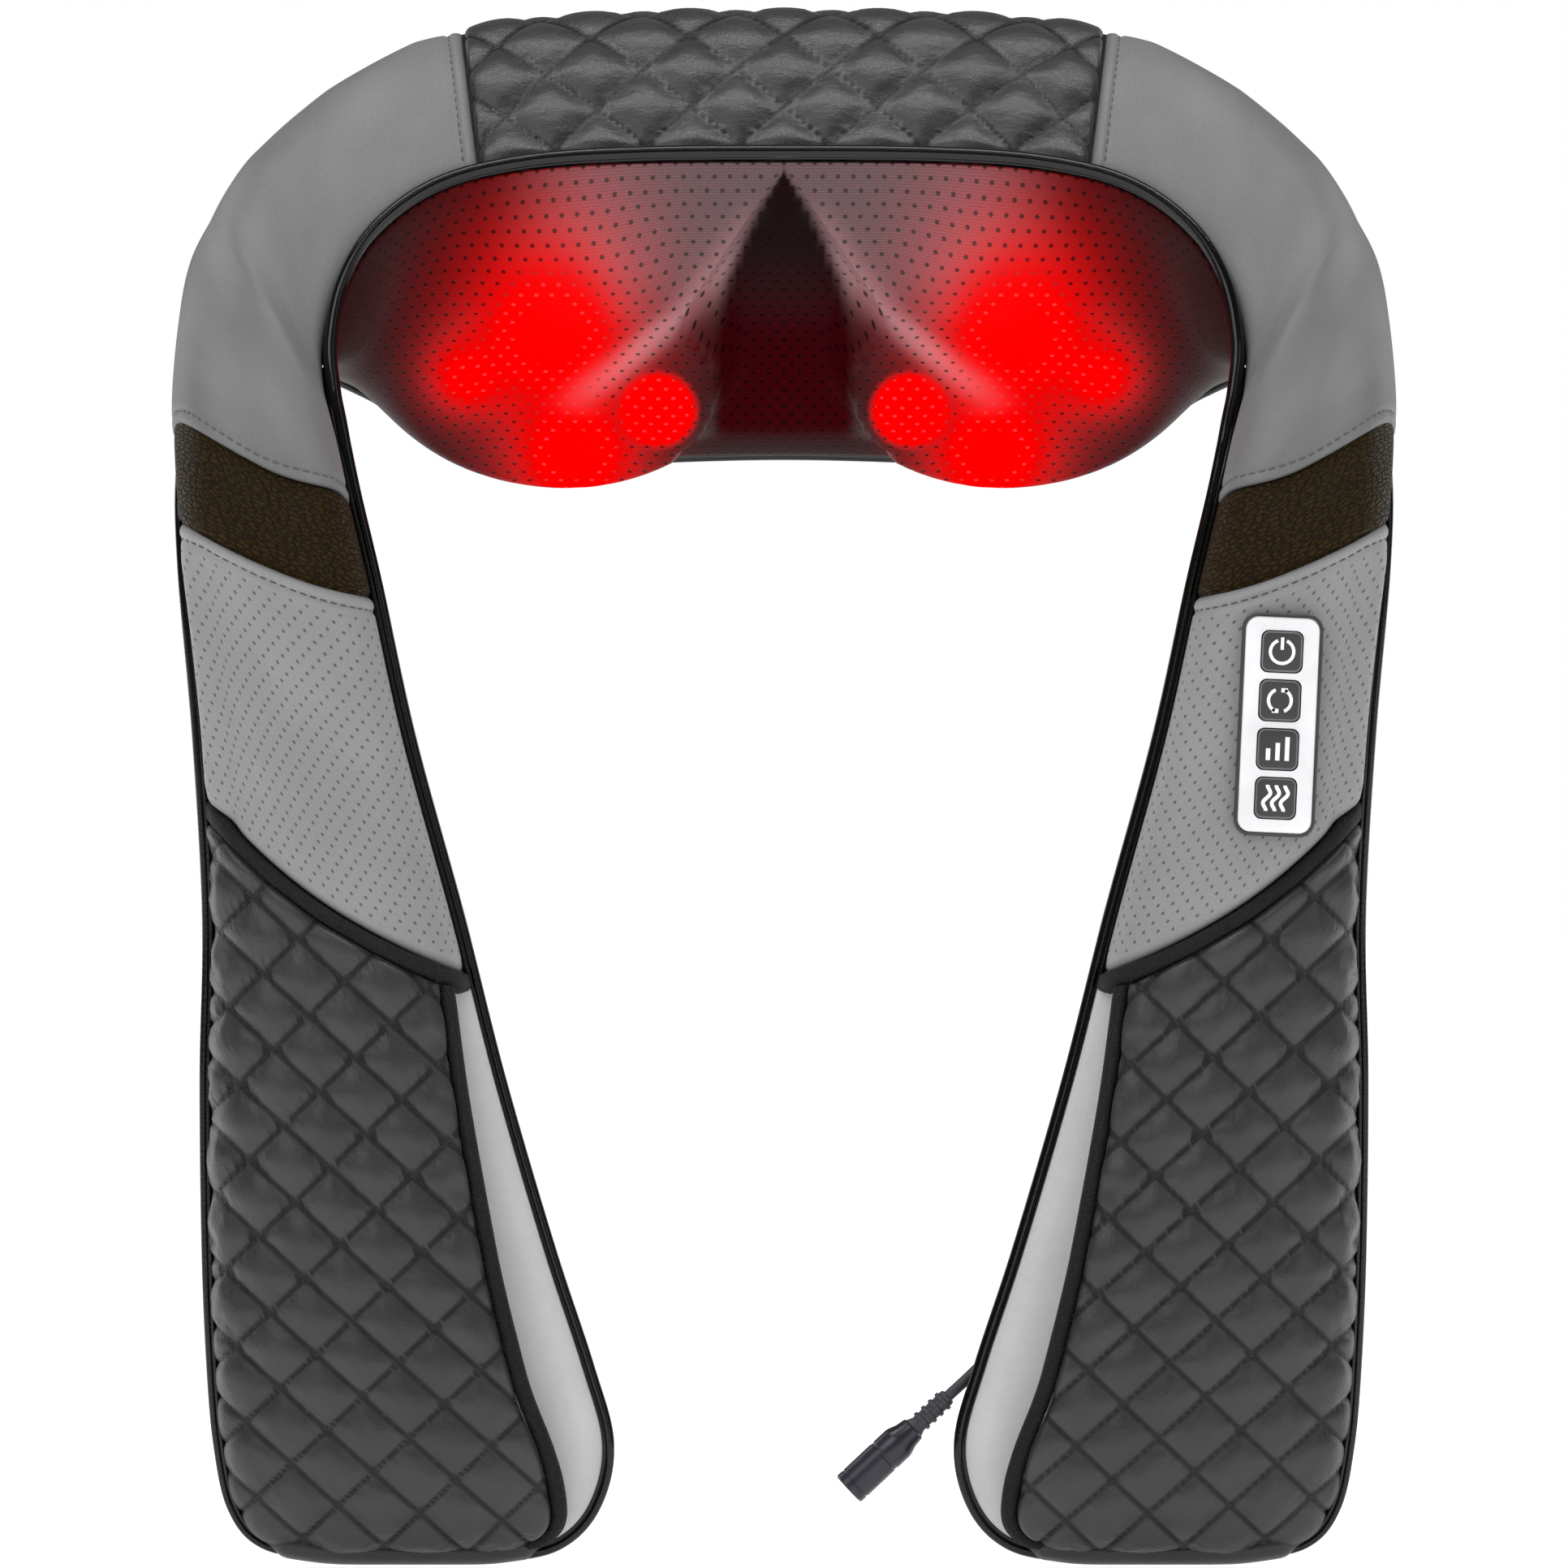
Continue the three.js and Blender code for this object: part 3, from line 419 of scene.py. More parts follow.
# ---------- stitches ----------
def stitch_shapes(path, up, pitch=3.3, length=2.4, radius=0.3, sink=0.12):
    """Thread stitches laid end to end along a path on a surface with the given normals."""
    steps = np.linalg.norm(np.diff(path, axis=0), axis=1)
    arc = np.concatenate([[0], np.cumsum(steps)])
    if arc[-1] < 2 * pitch:
        return []
    shapes = []
    bow = np.array([-0.5, -0.4, 0, 0.4, 0.5])
    drop = np.array([0.9, 0.15, -0.15, 0.15, 0.9]) * radius
    size = np.array([0.35, 0.9, 1, 0.9, 0.35]) * radius
    for middle in np.arange(pitch, arc[-1] - pitch * 0.6, pitch):
        at = middle + bow * length
        line = np.stack([np.interp(at, arc, path[:, i]) for i in range(3)], 1)
        over = unit(np.array([np.interp(middle, arc, up[:, i]) for i in range(3)]))
        line = line - over * (drop + sink - radius * 0.4)[:, None]
        shapes.append(tube(line, over, size, 6)[:2])
    return shapes


def crossing(row, value):
    """Where a value lies along a rising or falling row, counted in points."""
    order = slice(None) if row[-1] > row[0] else slice(None, None, -1)
    return np.interp(value, row[order], np.arange(len(row))[order])


def grid_line(surface, normal, field, value):
    """Where a field has a value, row by row: points of a surface and the normals there."""
    points, normals = [], []
    for i in range(len(field)):
        row = field[i]
        if not min(row[0], row[-1]) <= value <= max(row[0], row[-1]):
            continue
        at = crossing(row, value)
        points.append([np.interp(at, np.arange(len(row)), surface[i, :, c]) for c in range(3)])
        normals.append([np.interp(at, np.arange(len(row)), normal[i, :, c]) for c in range(3)])
    return np.array(points), np.array(normals)


def seam_line(grid, surface, distance, from_end=False, margin=0.0):
    """The line on a grid at a distance along the body from its first or last row."""
    points, normals = [], []
    for j in range(grid.k.shape[1]):
        along = grid.along[:, j]
        at = along[-1] - distance if from_end else distance
        middle = len(along) // 2
        if min(grid.inner[middle, j], grid.outer[middle, j]) < margin:
            continue
        points.append([np.interp(at, along, surface[:, j, c]) for c in range(3)])
        normals.append([np.interp(at, along, grid.normal[:, j, c]) for c in range(3)])
    return np.array(points), np.array(normals)


# ---------- materials ----------
def linear(value):
    value = value / 255
    return value / 12.92 if value <= 0.04045 else ((value + 0.055) / 1.055) ** 2.4


def rgb(r, g=None, b=None):
    g, b = (r, r) if g is None else (g, b)
    return (linear(r), linear(g), linear(b), 1)


def shade(colour, factor):
    return rgb(*[c * factor for c in colour])


class Nodes:
    """A material's node tree, built by short calls that return output sockets."""

    def __init__(self, name, roughness=0.5, metallic=0.0, **extra):
        self.material = bpy.data.materials.new(name)
        self.material.use_nodes = True
        self.tree = self.material.node_tree
        self.shader = self.tree.nodes["Principled BSDF"]
        self.set(Roughness=roughness, Metallic=metallic, **extra)

    def set(self, **inputs):
        for key, value in inputs.items():
            self.plug(self.shader.inputs[key.replace("_", " ")], value)
        return self

    def plug(self, socket, value):
        if isinstance(value, bpy.types.NodeSocket):
            self.tree.links.new(value, socket)
        else:
            socket.default_value = value

    def node(self, kind, inputs=(), output=0, **settings):
        node = self.tree.nodes.new(kind)
        for key, value in settings.items():
            setattr(node, key, value)
        for key, value in dict(inputs).items():
            self.plug(node.inputs[key], value)
        return node.outputs[output]

    def math(self, operation, a, b=0.0, c=0.0):
        return self.node("ShaderNodeMath", {0: a, 1: b, 2: c}, operation=operation)

    def times(self, a, b):
        return self.math("MULTIPLY", a, b)

    def rest_of(self, share):
        """One minus a share."""
        return self.math("SUBTRACT", 1.0, share)

    def vector(self, operation, a, b=(0, 0, 0), output=0):
        return self.node("ShaderNodeVectorMath", {0: a, 1: b}, output, operation=operation)

    def uv(self):
        return self.node("ShaderNodeUVMap", uv_map="fabric")

    def place(self):
        return self.node("ShaderNodeTexCoord", output="Object")

    def value(self, name):
        return self.node("ShaderNodeAttribute", output="Fac", attribute_name=name)

    def noise(self, vector, scale, detail=3.0, roughness=0.55):
        inputs = {"Vector": vector, "Scale": scale, "Detail": detail, "Roughness": roughness}
        return self.node("ShaderNodeTexNoise", inputs, "Fac")

    def cells(self, vector, scale, feature="F1", output="Distance"):
        inputs = {"Vector": vector, "Scale": scale}
        return self.node("ShaderNodeTexVoronoi", inputs, output, feature=feature, voronoi_dimensions="2D")

    def ramp(self, value, low, high, to_low=0.0, to_high=1.0, smooth=True):
        kind = "SMOOTHSTEP" if smooth else "LINEAR"
        inputs = {"Value": value, "From Min": low, "From Max": high, "To Min": to_low, "To Max": to_high}
        return self.node("ShaderNodeMapRange", inputs, interpolation_type=kind, clamp=True)

    def mix(self, share, a, b, blend="MIX"):
        node = self.tree.nodes.new("ShaderNodeMix")
        node.data_type, node.blend_type = "RGBA", blend
        for socket, value in ((node.inputs[0], share), (node.inputs[6], a), (node.inputs[7], b)):
            self.plug(socket, value)
        return node.outputs[2]

    def bump(self, height, distance, strength=1.0, normal=None):
        inputs = {"Height": height, "Distance": distance, "Strength": strength}
        if normal is not None:
            inputs["Normal"] = normal
        return self.node("ShaderNodeBump", inputs)

    def dots(self, across, along, radius, soft=0.12):
        """1 inside round holes on a staggered lattice of the fabric coordinates, in millimetres."""
        place = self.uv()
        nearest = None
        for shift in ((0.0, 0.0), (0.5, 0.5)):
            cell = self.vector("ADD", self.vector("DIVIDE", place, (across, along, 1)), (*shift, 0))
            offset = self.vector("SUBTRACT", self.vector("FRACTION", cell), (0.5, 0.5, 0))
            scaled = self.vector("MULTIPLY", offset, (across, along, 0))
            distance = self.vector("LENGTH", scaled, output="Value")
            nearest = distance if nearest is None else self.math("MINIMUM", nearest, distance)
        return self.ramp(nearest, radius - soft, radius + soft, 1, 0)


def leather(name, colour, light, roughness=0.5, grain=0.5, cloud=0.35, perforated=False):
    """Smooth leather: cloudy tone, fine pebbled grain, and painted shade that darkens it into the seams."""
    m = Nodes(name, roughness)
    place = m.uv()
    clouds = m.ramp(m.noise(place, 0.022, 2.0), 0.35, 0.65)
    fine = m.noise(place, 0.9, 4.0, 0.6)
    tone = m.mix(m.times(clouds, cloud), rgb(*colour), rgb(*light))
    tone = m.mix(m.ramp(fine, 0.3, 0.75, 0, 0.16), tone, shade(colour, 0.72))
    # Painted shade: the leather darkens into its seams, where the rolled edges turn from the light.
    seam = m.ramp(m.value("edge"), 0.2, 3.2, 0.5, 0)
    tone = m.mix(seam, tone, shade(colour, 0.45))
    pebbles = m.cells(place, 1.15)
    height = m.math("ADD", m.times(pebbles, 0.6), m.times(fine, 0.5))
    normal = m.bump(height, 0.00014 * grain, 0.9)
    if perforated:
        clear = m.times(m.ramp(m.value("edge"), 3.6, 4.4), m.ramp(m.value("start"), 7.5, 8.5))
        holes = m.times(m.dots(5.5, 5.5, 0.5), clear)
        tone = m.mix(m.times(holes, 0.62), tone, rgb(40))
        normal = m.bump(m.rest_of(holes), 0.0004, 0.9, normal)
    shine = m.ramp(fine, 0.3, 0.7, roughness - 0.06, roughness + 0.08)
    m.set(Base_Color=tone, Normal=normal, Roughness=shine, Specular_IOR_Level=0.42)
    return m.material


def grained_leather(name, dark, light, roughness=0.5, scale=0.55, depth=0.0005):
    """Leather with a strong creased grain, as on the accent band."""
    m = Nodes(name, roughness, Specular_IOR_Level=0.1)
    place = m.uv()
    shift = m.node("ShaderNodeTexNoise", {"Vector": place, "Scale": 0.35}, "Color")
    wobble = m.vector("MULTIPLY", shift, (2.2, 2.2, 0))
    stretched = m.vector("MULTIPLY", place, (0.65, 1.25, 1))
    creases = m.cells(m.vector("ADD", stretched, wobble), scale, "DISTANCE_TO_EDGE")
    raised = m.ramp(creases, 0.0, 0.32)
    fine = m.noise(place, 1.6, 5.0, 0.65)
    tone = m.mix(m.times(raised, m.ramp(fine, 0.3, 0.7)), rgb(*dark), rgb(*light))
    height = m.math("ADD", raised, m.times(fine, 0.5))
    m.set(Base_Color=tone, Normal=m.bump(height, depth, 0.8))
    m.set(Roughness=m.ramp(raised, 0, 1, roughness + 0.12, roughness - 0.05))
    return m.material


def quilt_leather(name, dark, light, roughness=0.42, crease_shade_tone=0.74):
    """Soft dark leather: creased grain, fine wrinkles that run into the stitch lines, worn highlights, and
    painted shade in the creases along the stitch lines.
    """
    m = Nodes(name, roughness, Sheen_Roughness=0.5)
    place = m.uv()
    fine = m.noise(place, 1.1, 4.0, 0.6)
    broad = m.noise(place, 0.05, 3.0)
    # Painted shade: the leather darkens into the creases along the stitch lines, where its specular and sheen
    # are also lowered.
    crease_shade = m.ramp(m.value("stitch"), 0.1, 1.6)
    tone = m.mix(m.ramp(broad, 0.3, 0.7), rgb(*dark), rgb(*light))
    tone = m.mix(m.ramp(fine, 0.35, 0.8, 0, 0.2), tone, shade(light, 1.35))
    tone = m.mix(crease_shade, shade(dark, crease_shade_tone), tone)
    wrinkles = m.noise(m.vector("MULTIPLY", place, (1, 0.45, 1)), 0.32, 3.0, 0.55)
    pebbles = m.cells(place, 1.3)
    height = m.math("ADD", m.times(pebbles, 0.35), m.times(fine, 0.35))
    normal = m.bump(wrinkles, 0.0005, 0.45, m.bump(height, 0.00016, 0.8))
    m.set(Base_Color=tone, Normal=normal, Roughness=m.ramp(fine, 0.3, 0.7, roughness - 0.05, roughness + 0.1))
    m.set(Specular_IOR_Level=m.ramp(crease_shade, 0, 1, 0.26, 0.5), Sheen_Weight=m.ramp(crease_shade, 0, 1, 0.06, 0.12))
    return m.material


def vinyl(name, colour=5, roughness=0.16):
    """Glossy coated cord: faint ribbing under a clear coat."""
    m = Nodes(name, roughness, Coat_Weight=0.3, Coat_Roughness=0.08, Specular_IOR_Level=0.2)
    place = m.uv()
    ribs = m.noise(m.vector("MULTIPLY", place, (0.6, 1, 1)), 0.8, 3.0)
    m.set(Base_Color=m.mix(ribs, rgb(colour), rgb(colour * 1.8)), Normal=m.bump(ribs, 0.00018, 0.5))
    return m.material


def woven(name, dark, light, thread=0.55, roughness=0.85):
    """Fine plain weave, with painted shade that darkens it towards its edges."""
    m = Nodes(name, roughness, Sheen_Weight=0.25)
    place = m.uv()
    waves = []
    for direction in ("X", "Y"):
        inputs = {"Vector": place, "Scale": 0.314 / thread, "Distortion": 0.4, "Detail": 1.0}
        waves.append(m.node("ShaderNodeTexWave", inputs, "Fac", bands_direction=direction))
    weave = m.math("MAXIMUM", *waves)
    cloud = m.noise(place, 0.03, 2.0)
    tone = m.mix(m.times(weave, 0.5), rgb(*dark), rgb(*light))
    tone = m.mix(m.ramp(cloud, 0.3, 0.7, 0, 0.15), tone, shade(dark, 0.85))
    # Painted shade: the cloth darkens towards its edges, where it runs under the pieces round it.
    tone = m.mix(m.ramp(m.value("edge"), 0.0, 9.0, 0.35, 0), tone, shade(dark, 0.5))
    m.set(Base_Color=tone, Normal=m.bump(weave, 0.00012, 0.6))
    return m.material


def moulded(name, colour, roughness=0.4, metallic=0.0, grain=0.00005, **extra):
    """Moulded plastic or bare metal: a fine spark-eroded texture and a slightly uneven gloss."""
    m = Nodes(name, roughness, metallic, **extra)
    place = m.place()
    fine = m.noise(place, 2200.0, 2.0)
    broad = m.noise(place, 60.0, 3.0)
    lighter = [min(255, c * 1.12 + 3) for c in colour]
    tone = m.mix(m.ramp(broad, 0.3, 0.7, 0, 0.3), rgb(*colour), rgb(*lighter))
    m.set(Base_Color=tone, Normal=m.bump(fine, grain, 0.5))
    m.set(Roughness=m.ramp(broad, 0.3, 0.7, roughness - 0.05, roughness + 0.07))
    return m.material


def brushed(name, colour, roughness=0.32):
    """Turned or brushed metal with fine lines."""
    m = Nodes(name, roughness, 1.0)
    lines = m.noise(m.vector("MULTIPLY", m.place(), (1, 40, 40)), 60.0, 4.0)
    m.set(Base_Color=m.mix(lines, rgb(*colour), rgb(*[min(255, c * 1.25) for c in colour])))
    m.set(Roughness=m.ramp(lines, 0.3, 0.7, roughness - 0.1, roughness + 0.12))
    m.set(Normal=m.bump(lines, 0.00003, 0.6))
    return m.material


def circuit_board(name):
    """Green solder mask with darker copper tracks under it."""
    m = Nodes(name, 0.35, Coat_Weight=0.5)
    tracks = m.cells(m.place(), 420.0)
    m.set(Base_Color=m.mix(m.ramp(tracks, 0.3, 0.5), rgb(14, 60, 34), rgb(24, 92, 52)))
    m.set(Normal=m.bump(tracks, 0.00004, 0.5))
    return m.material


def centre_of(node):
    low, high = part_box(node)
    return (low + high) / 2


def glow_of(m, node, reach, peak, crisp):
    """How brightly a massage node shines through the cover, by the distance from it in the head's plane."""
    place = m.node("ShaderNodeTexCoord", output="Object", object=frame["nodes"][node])
    offset = m.vector("SUBTRACT", place, tuple(centre_of(node)))
    down = (0, math.cos(PAD_TILT), math.sin(PAD_TILT))
    sideways = m.vector("DOT_PRODUCT", offset, (1, 0, 0), output="Value")
    along = m.times(m.vector("DOT_PRODUCT", offset, down, output="Value"), 0.64)
    squared = m.math("ADD", m.math("POWER", sideways, 2.0), m.math("POWER", along, 2.0))
    if crisp:
        return m.ramp(m.math("SQRT", squared), reach * 0.78, reach * 1.12, peak, 0)
    spread = m.math("EXPONENT", m.times(squared, -1 / reach**2))
    return m.math("MINIMUM", m.times(spread, peak), 1.0)


def massage_mesh(label):
    """Perforated knit over the massage heads, with the heads' red lamps shining through it; painted shadow in
    the valley, painted shade outside the lit middle, and a painted highlight along the ridge.
    """
    m = Nodes(f"mesh_fabric_{label}", 0.5)
    spots = [("big_node_upper", 0.0265, 1.15, False), ("big_node_lower", 0.02, 1.15, False)]
    spots += [("small_node_inner", 0.0125, 0.92, True), ("small_node_outer", 0.0115, 1.0, False)]
    dark = 1.0
    for node, reach, peak, crisp in spots:
        one_glow = glow_of(m, f"{node}_{label}", reach, peak, crisp)
        dark = m.times(dark, m.rest_of(one_glow))
    glow = m.rest_of(dark)
    # Masks of painted light from the cover's mesh: the valley's painted shadow, the ridge's painted
    # highlight, and the lit middle outside which shade is painted.
    valley_shadow, ridge, lit = m.value("valley_shade"), m.value("ridge"), m.value("lit")
    # The red glow fades in the painted valley shadow.
    glow = m.times(glow, m.ramp(valley_shadow, 0.0, 1.0, 1, 0.06))
    place = m.uv()
    inputs = {"Vector": place, "Scale": 0.34, "Distortion": 1.5, "Detail": 2.0}
    knit = m.node("ShaderNodeTexWave", inputs, "Fac", bands_direction="X")
    fine = m.noise(place, 1.4, 4.0, 0.6)
    base = m.mix(m.times(knit, 0.45), rgb(80, 56, 60), rgb(120, 87, 91))
    base = m.mix(m.ramp(fine, 0.35, 0.7, 0, 0.4), base, rgb(56, 32, 36))
    # Painted shade: dark burgundy outside the lit middle, towards the outer corners and the bottom.
    base = m.mix(lit, rgb(34, 3, 5), base)
    # Painted shadow in the valley between the mounds, darkest near its apex.
    base = m.mix(m.times(valley_shadow, 0.97), base, m.mix(m.value("apex_shade"), rgb(56, 1, 8), rgb(14, 0, 2)))
    # Painted highlight: a pale pink sheen along the ridge beside the valley.
    base = m.mix(m.times(ridge, 0.5), base, rgb(172, 120, 124))
    holes = m.dots(8.6, 4.8, 0.68, 0.16)
    bright = m.ramp(glow, 0.55, 0.85)
    dark_holes = m.times(holes, m.rest_of(bright))
    light_holes = m.times(m.times(holes, bright), m.ramp(glow, 1.0, 0.93))
    base = m.mix(m.ramp(glow, 0.1, 0.9, 0, 0.9), base, rgb(120, 0, 0))
    base = m.mix(m.times(dark_holes, 0.9), base, rgb(12, 2, 4))
    shine = m.mix(m.times(light_holes, 0.36), rgb(255, 0, 0), rgb(255, 96, 104))
    # Painted highlight: the glow turns pinker along the ridge.
    shine = m.mix(m.times(ridge, 0.5), shine, rgb(255, 112, 118))
    strength = m.times(glow, m.rest_of(m.times(dark_holes, 0.8)))
    seen = m.ramp(m.node("ShaderNodeLightPath", output="Is Camera Ray"), 0, 1, 0.25, 0.97, False)
    m.set(Base_Color=base, Emission_Color=shine, Emission_Strength=m.times(strength, seen))
    height = m.math("ADD", m.times(knit, 0.3), m.times(fine, 0.3))
    normal = m.bump(m.rest_of(holes), 0.00025, 0.8, m.bump(height, 0.0002, 0.7))
    dull = m.times(m.ramp(glow, 0.3, 0.8, 1, 0.0), m.ramp(valley_shadow, 0, 1, 1, 0.05))
    dull = m.times(dull, m.math("MAXIMUM", m.ramp(lit, 0, 1, 0.12, 1), ridge))
    m.set(Normal=normal, Roughness=0.48, Specular_IOR_Level=m.times(dull, 0.4))
    m.set(Sheen_Weight=m.times(dull, 0.1), Sheen_Roughness=0.35)
    return m.material


def bend_with_arm(obj):
    """Fabric that crosses the shoulder: its placement is baked into its mesh, and it rides on no body."""
    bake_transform(obj)


def finish_piece(obj, body=None, replaces=()):
    if replaces:
        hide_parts(*replaces)
    if body:
        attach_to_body(obj, body)
    else:
        bend_with_arm(obj)
    return obj


# ---------- quilting ----------
STITCH_REACH = 0.035  # share of a diamond beside a stitch line that the thread holds down
SEAM_REACH = 0.9  # millimetres beside the cover's edge that its seam holds down
CLOTH_FRAMES = 16


def lattice(a, b, step_a, step_b):
    """Coordinates in which each family of stitch lines lies at whole numbers."""
    matrix = np.linalg.inv(np.array([step_a, step_b], float).T)
    return matrix[0, 0] * a + matrix[0, 1] * b, matrix[1, 0] * a + matrix[1, 1] * b


def from_line(field):
    return np.abs(field - np.round(field))


def puff(first, second, height):
    """Padded diamonds between two families of stitch lines."""
    return height * np.sqrt(np.abs(np.sin(np.pi * first)) * np.abs(np.sin(np.pi * second)))


def snapped(places, fields):
    """Moves the nearest point of each row onto every stitch line, so that the creases are clean."""
    for i in range(len(fields[0])):
        taken = set()
        for field in fields:
            row = field[i]
            low, high = sorted((row[0], row[-1]))
            for value in range(math.ceil(low), math.floor(high) + 1):
                at = crossing(row, value)
                j = int(round(at))
                if j in taken or not 0 < j < len(row) - 1:
                    continue
                taken.add(j)
                other = j + 1 if at > j else j - 1
                share = abs(at - j)
                for part in (*places, *fields):
                    part[i, j] += (part[i, other] - part[i, j]) * share


def inflated(grid, start, pinned, cap, pressure, slack):
    """Blows the cover up between its pinned stitches by cloth simulation; returns heights over the base."""
    rows, columns = grid.k.shape
    points = grid.raised(start)
    faces = facing_out(grid, points, quads(rows, columns))
    scale = 10.0  # the solver keeps its accuracy on a tenfold model
    mesh = bpy.data.meshes.new("quilt_simulation")
    mesh.from_pydata((to_frame(points.reshape(-1, 3)) * scale).tolist(), [], faces.tolist())
    obj = placed("quilt_simulation", mesh)
    group = obj.vertex_groups.new(name="stitched")
    group.add([int(i) for i in np.flatnonzero(pinned.ravel())], 1.0, "REPLACE")
    cloth = obj.modifiers.new("cloth", "CLOTH")
    settings = cloth.settings
    settings.quality = 4
    settings.mass = 0.25
    settings.tension_stiffness = settings.compression_stiffness = 25
    settings.shear_stiffness = 12
    settings.bending_stiffness = 0.6
    settings.vertex_group_mass = "stitched"
    settings.shrink_min = -slack
    settings.use_pressure = True
    settings.uniform_pressure_force = pressure
    settings.effector_weights.gravity = 0
    cloth.collision_settings.use_collision = False
    scene = bpy.context.scene
    cloth.point_cache.frame_start, cloth.point_cache.frame_end = 1, CLOTH_FRAMES
    for at in range(1, CLOTH_FRAMES + 1):
        scene.frame_set(at)
    shape = obj.evaluated_get(bpy.context.evaluated_depsgraph_get()).to_mesh()
    moved = np.empty(len(shape.vertices) * 3)
    shape.vertices.foreach_get("co", moved)
    moved = moved.reshape(rows, columns, 3) / scale * 1000 + ORIGIN
    scene.frame_set(1)
    bpy.data.objects.remove(obj)
    bpy.data.meshes.remove(mesh)
    height = ((moved - grid.base) * grid.normal).sum(-1)
    return np.clip(height, start.min() - 0.5, cap)


def quilted(grid, steps, offset, depth, cap, pressure, slack, by_column=False):
    """A quilted cover's heights and its two families of stitch lines."""
    first, second = lattice(grid.pattern_a - offset[0], grid.pattern_b - offset[1], *steps)
    turned = np.transpose if by_column else np.asarray
    snapped([turned(grid.k), turned(grid.v)], [turned(first), turned(second)])
    grid.base = grid.surface(grid.k, grid.v)
    keep = grid.normal
    grid.refresh()
    grid.face_out(keep)
    height = puff(first, second, depth) - roll(grid.edge, 2.4)
    reach = np.minimum(from_line(first), from_line(second))
    pinned = (reach < STITCH_REACH) | (grid.edge < SEAM_REACH)
    height = inflated(grid, height, pinned, cap, pressure, slack)
    return height, first, second


# ---------- the collar ----------
COLLAR_DIAMOND = ((14.1, 15.5), (-14.1, 15.5))  # stitch-line steps: along the collar, over it
COLLAR_FIRST_ROW = 20.0  # the first crossings' distance from the neck rim
ARM_DIAMOND = ((11.0, -10.5), (-14.3, -12.9))  # the same on the right arm's pocket: outwards, up
TOPSTITCH = 4.8  # a stitch line's distance from the seam beside it
LEATHER_FINE = (0.25, 0.8, 1.6, 2.8, 3.8, 4.4, 4.8, 5.2, 5.8, 7.0)


def outward(k):
    return mirrored(Section(np.abs(k)).normal, np.asarray(k) < 0)


def front_grid(k0, k1, v0=zero, v1=one, step=2.4, fine=LEATHER_FINE):
    length = Grid.measure(front_surface, np.linspace(k0(0.5), k1(0.5), 33), np.full(33, 0.5))[-1]
    grid = Grid(front_surface, k0, k1, v0, v1, step, rows=spaced(length, step, fine))
    return grid.face_out(outward(grid.k))


def topstitched(distance):
    """A turned seam allowance: a slightly raised strip beside a seam, drawn in where it is stitched."""
    strip = 0.5 * np.clip(distance / 2, 0, 1) * np.clip((TOPSTITCH + 0.6 - distance) / 1.2, 0, 1)
    return strip - 0.75 * np.exp(-(((distance - TOPSTITCH) / 0.9) ** 2))


PLATE_STENCIL = {(0, 0): 20, (0, 1): -8, (1, 0): -8, (1, 1): 2, (1, -1): 2, (0, 2): 1, (2, 0): 1}
PADDING_ROUNDS, PADDING_GAIN = 80, 1.35


def relaxed(grid, first, margin=4):
    """Rebuilds the surface after a station as a smooth thin plate, then gives it back its padding."""
    free = np.zeros(grid.k.shape, bool)
    start = int(np.argmax(grid.k[:, grid.k.shape[1] // 2] > first))
    free[start:-3, margin:-margin] = True
    number = np.full(grid.k.shape, -1)
    number[free] = np.arange(free.sum())
    rows, columns = np.nonzero(free)
    here = np.arange(len(rows))
    matrix, right = np.zeros((len(rows), len(rows))), np.zeros((len(rows), 3))
    for (down, over), weight in PLATE_STENCIL.items():
        for sign in (1, -1) if (down, over) != (0, 0) else (1,):
            at = (rows + sign * down, columns + sign * over)
            known = number[at] < 0
            matrix[here[~known], number[at][~known]] += weight
            right[known] -= weight * grid.base[at][known]
    before = grid.base.copy()
    grid.base[free] = np.linalg.solve(matrix, right)
    padding = before - grid.base
    for _ in range(PADDING_ROUNDS):
        around = padding[:-2, 1:-1] + padding[2:, 1:-1] + padding[1:-1, :-2] + padding[1:-1, 2:]
        padding[1:-1, 1:-1] = around / 4
    grid.base += padding * PADDING_GAIN
    keep = grid.normal
    grid.refresh()
    return grid.face_out(keep)


def shoulder_bulge(grid):
    """The padding that swells over the outer piping round the shoulder."""
    side = soft((grid.v - 0.5) / 0.35) * np.clip(grid.outer / 5, 0, 1) ** 0.5
    return BULGE_HEIGHT * np.exp(-(((grid.k - BULGE_STATION) / BULGE_REACH) ** 2)) * side


def leather_height(grid):
    """A padded leather panel: rolled into its seams and drawn in beside them."""
    return -roll(grid.edge, 1.7) - 0.9 * np.exp(-((grid.edge / 5) ** 2))


def cover(name, label, grid, height, slot, body=None, stands_for="", material=None, **shape):
    """One side's closed cover, in its slot's material; it stands for the CAD nodes named, less their side."""
    mirror = label == "left"
    panel = sheet(f"{name}_{label}", grid, height, MATERIALS[material or slot], mirror=mirror, **shape)
    return finish_piece(panel, body, [f"{node}_{label}" for node in stands_for.split()])


def sewn(name, lines, material, attach, mirror=False, **shape):
    """One piece with all the stitches along several lines."""
    shapes = []
    for path, normals in lines:
        if len(path) > 3:
            shapes += stitch_shapes(path, normals, **shape)
    points, faces = joined(shapes)
    if mirror:
        points, faces = flipped(points, faces)
    uv = np.zeros((len(points), 2))
    return attach(make_object(name, points, faces, material, uv))


def lattice_lines(grid, surface, fields, by_column=False):
    normal = grid.normal
    if by_column:
        surface, normal = surface.swapaxes(0, 1), normal.swapaxes(0, 1)
        fields = [field.T for field in fields]
    lines = []
    for field in fields:
        for value in range(math.ceil(field.min()), math.floor(field.max()) + 1):
            lines.append(grid_line(surface, normal, field, value))
    return lines


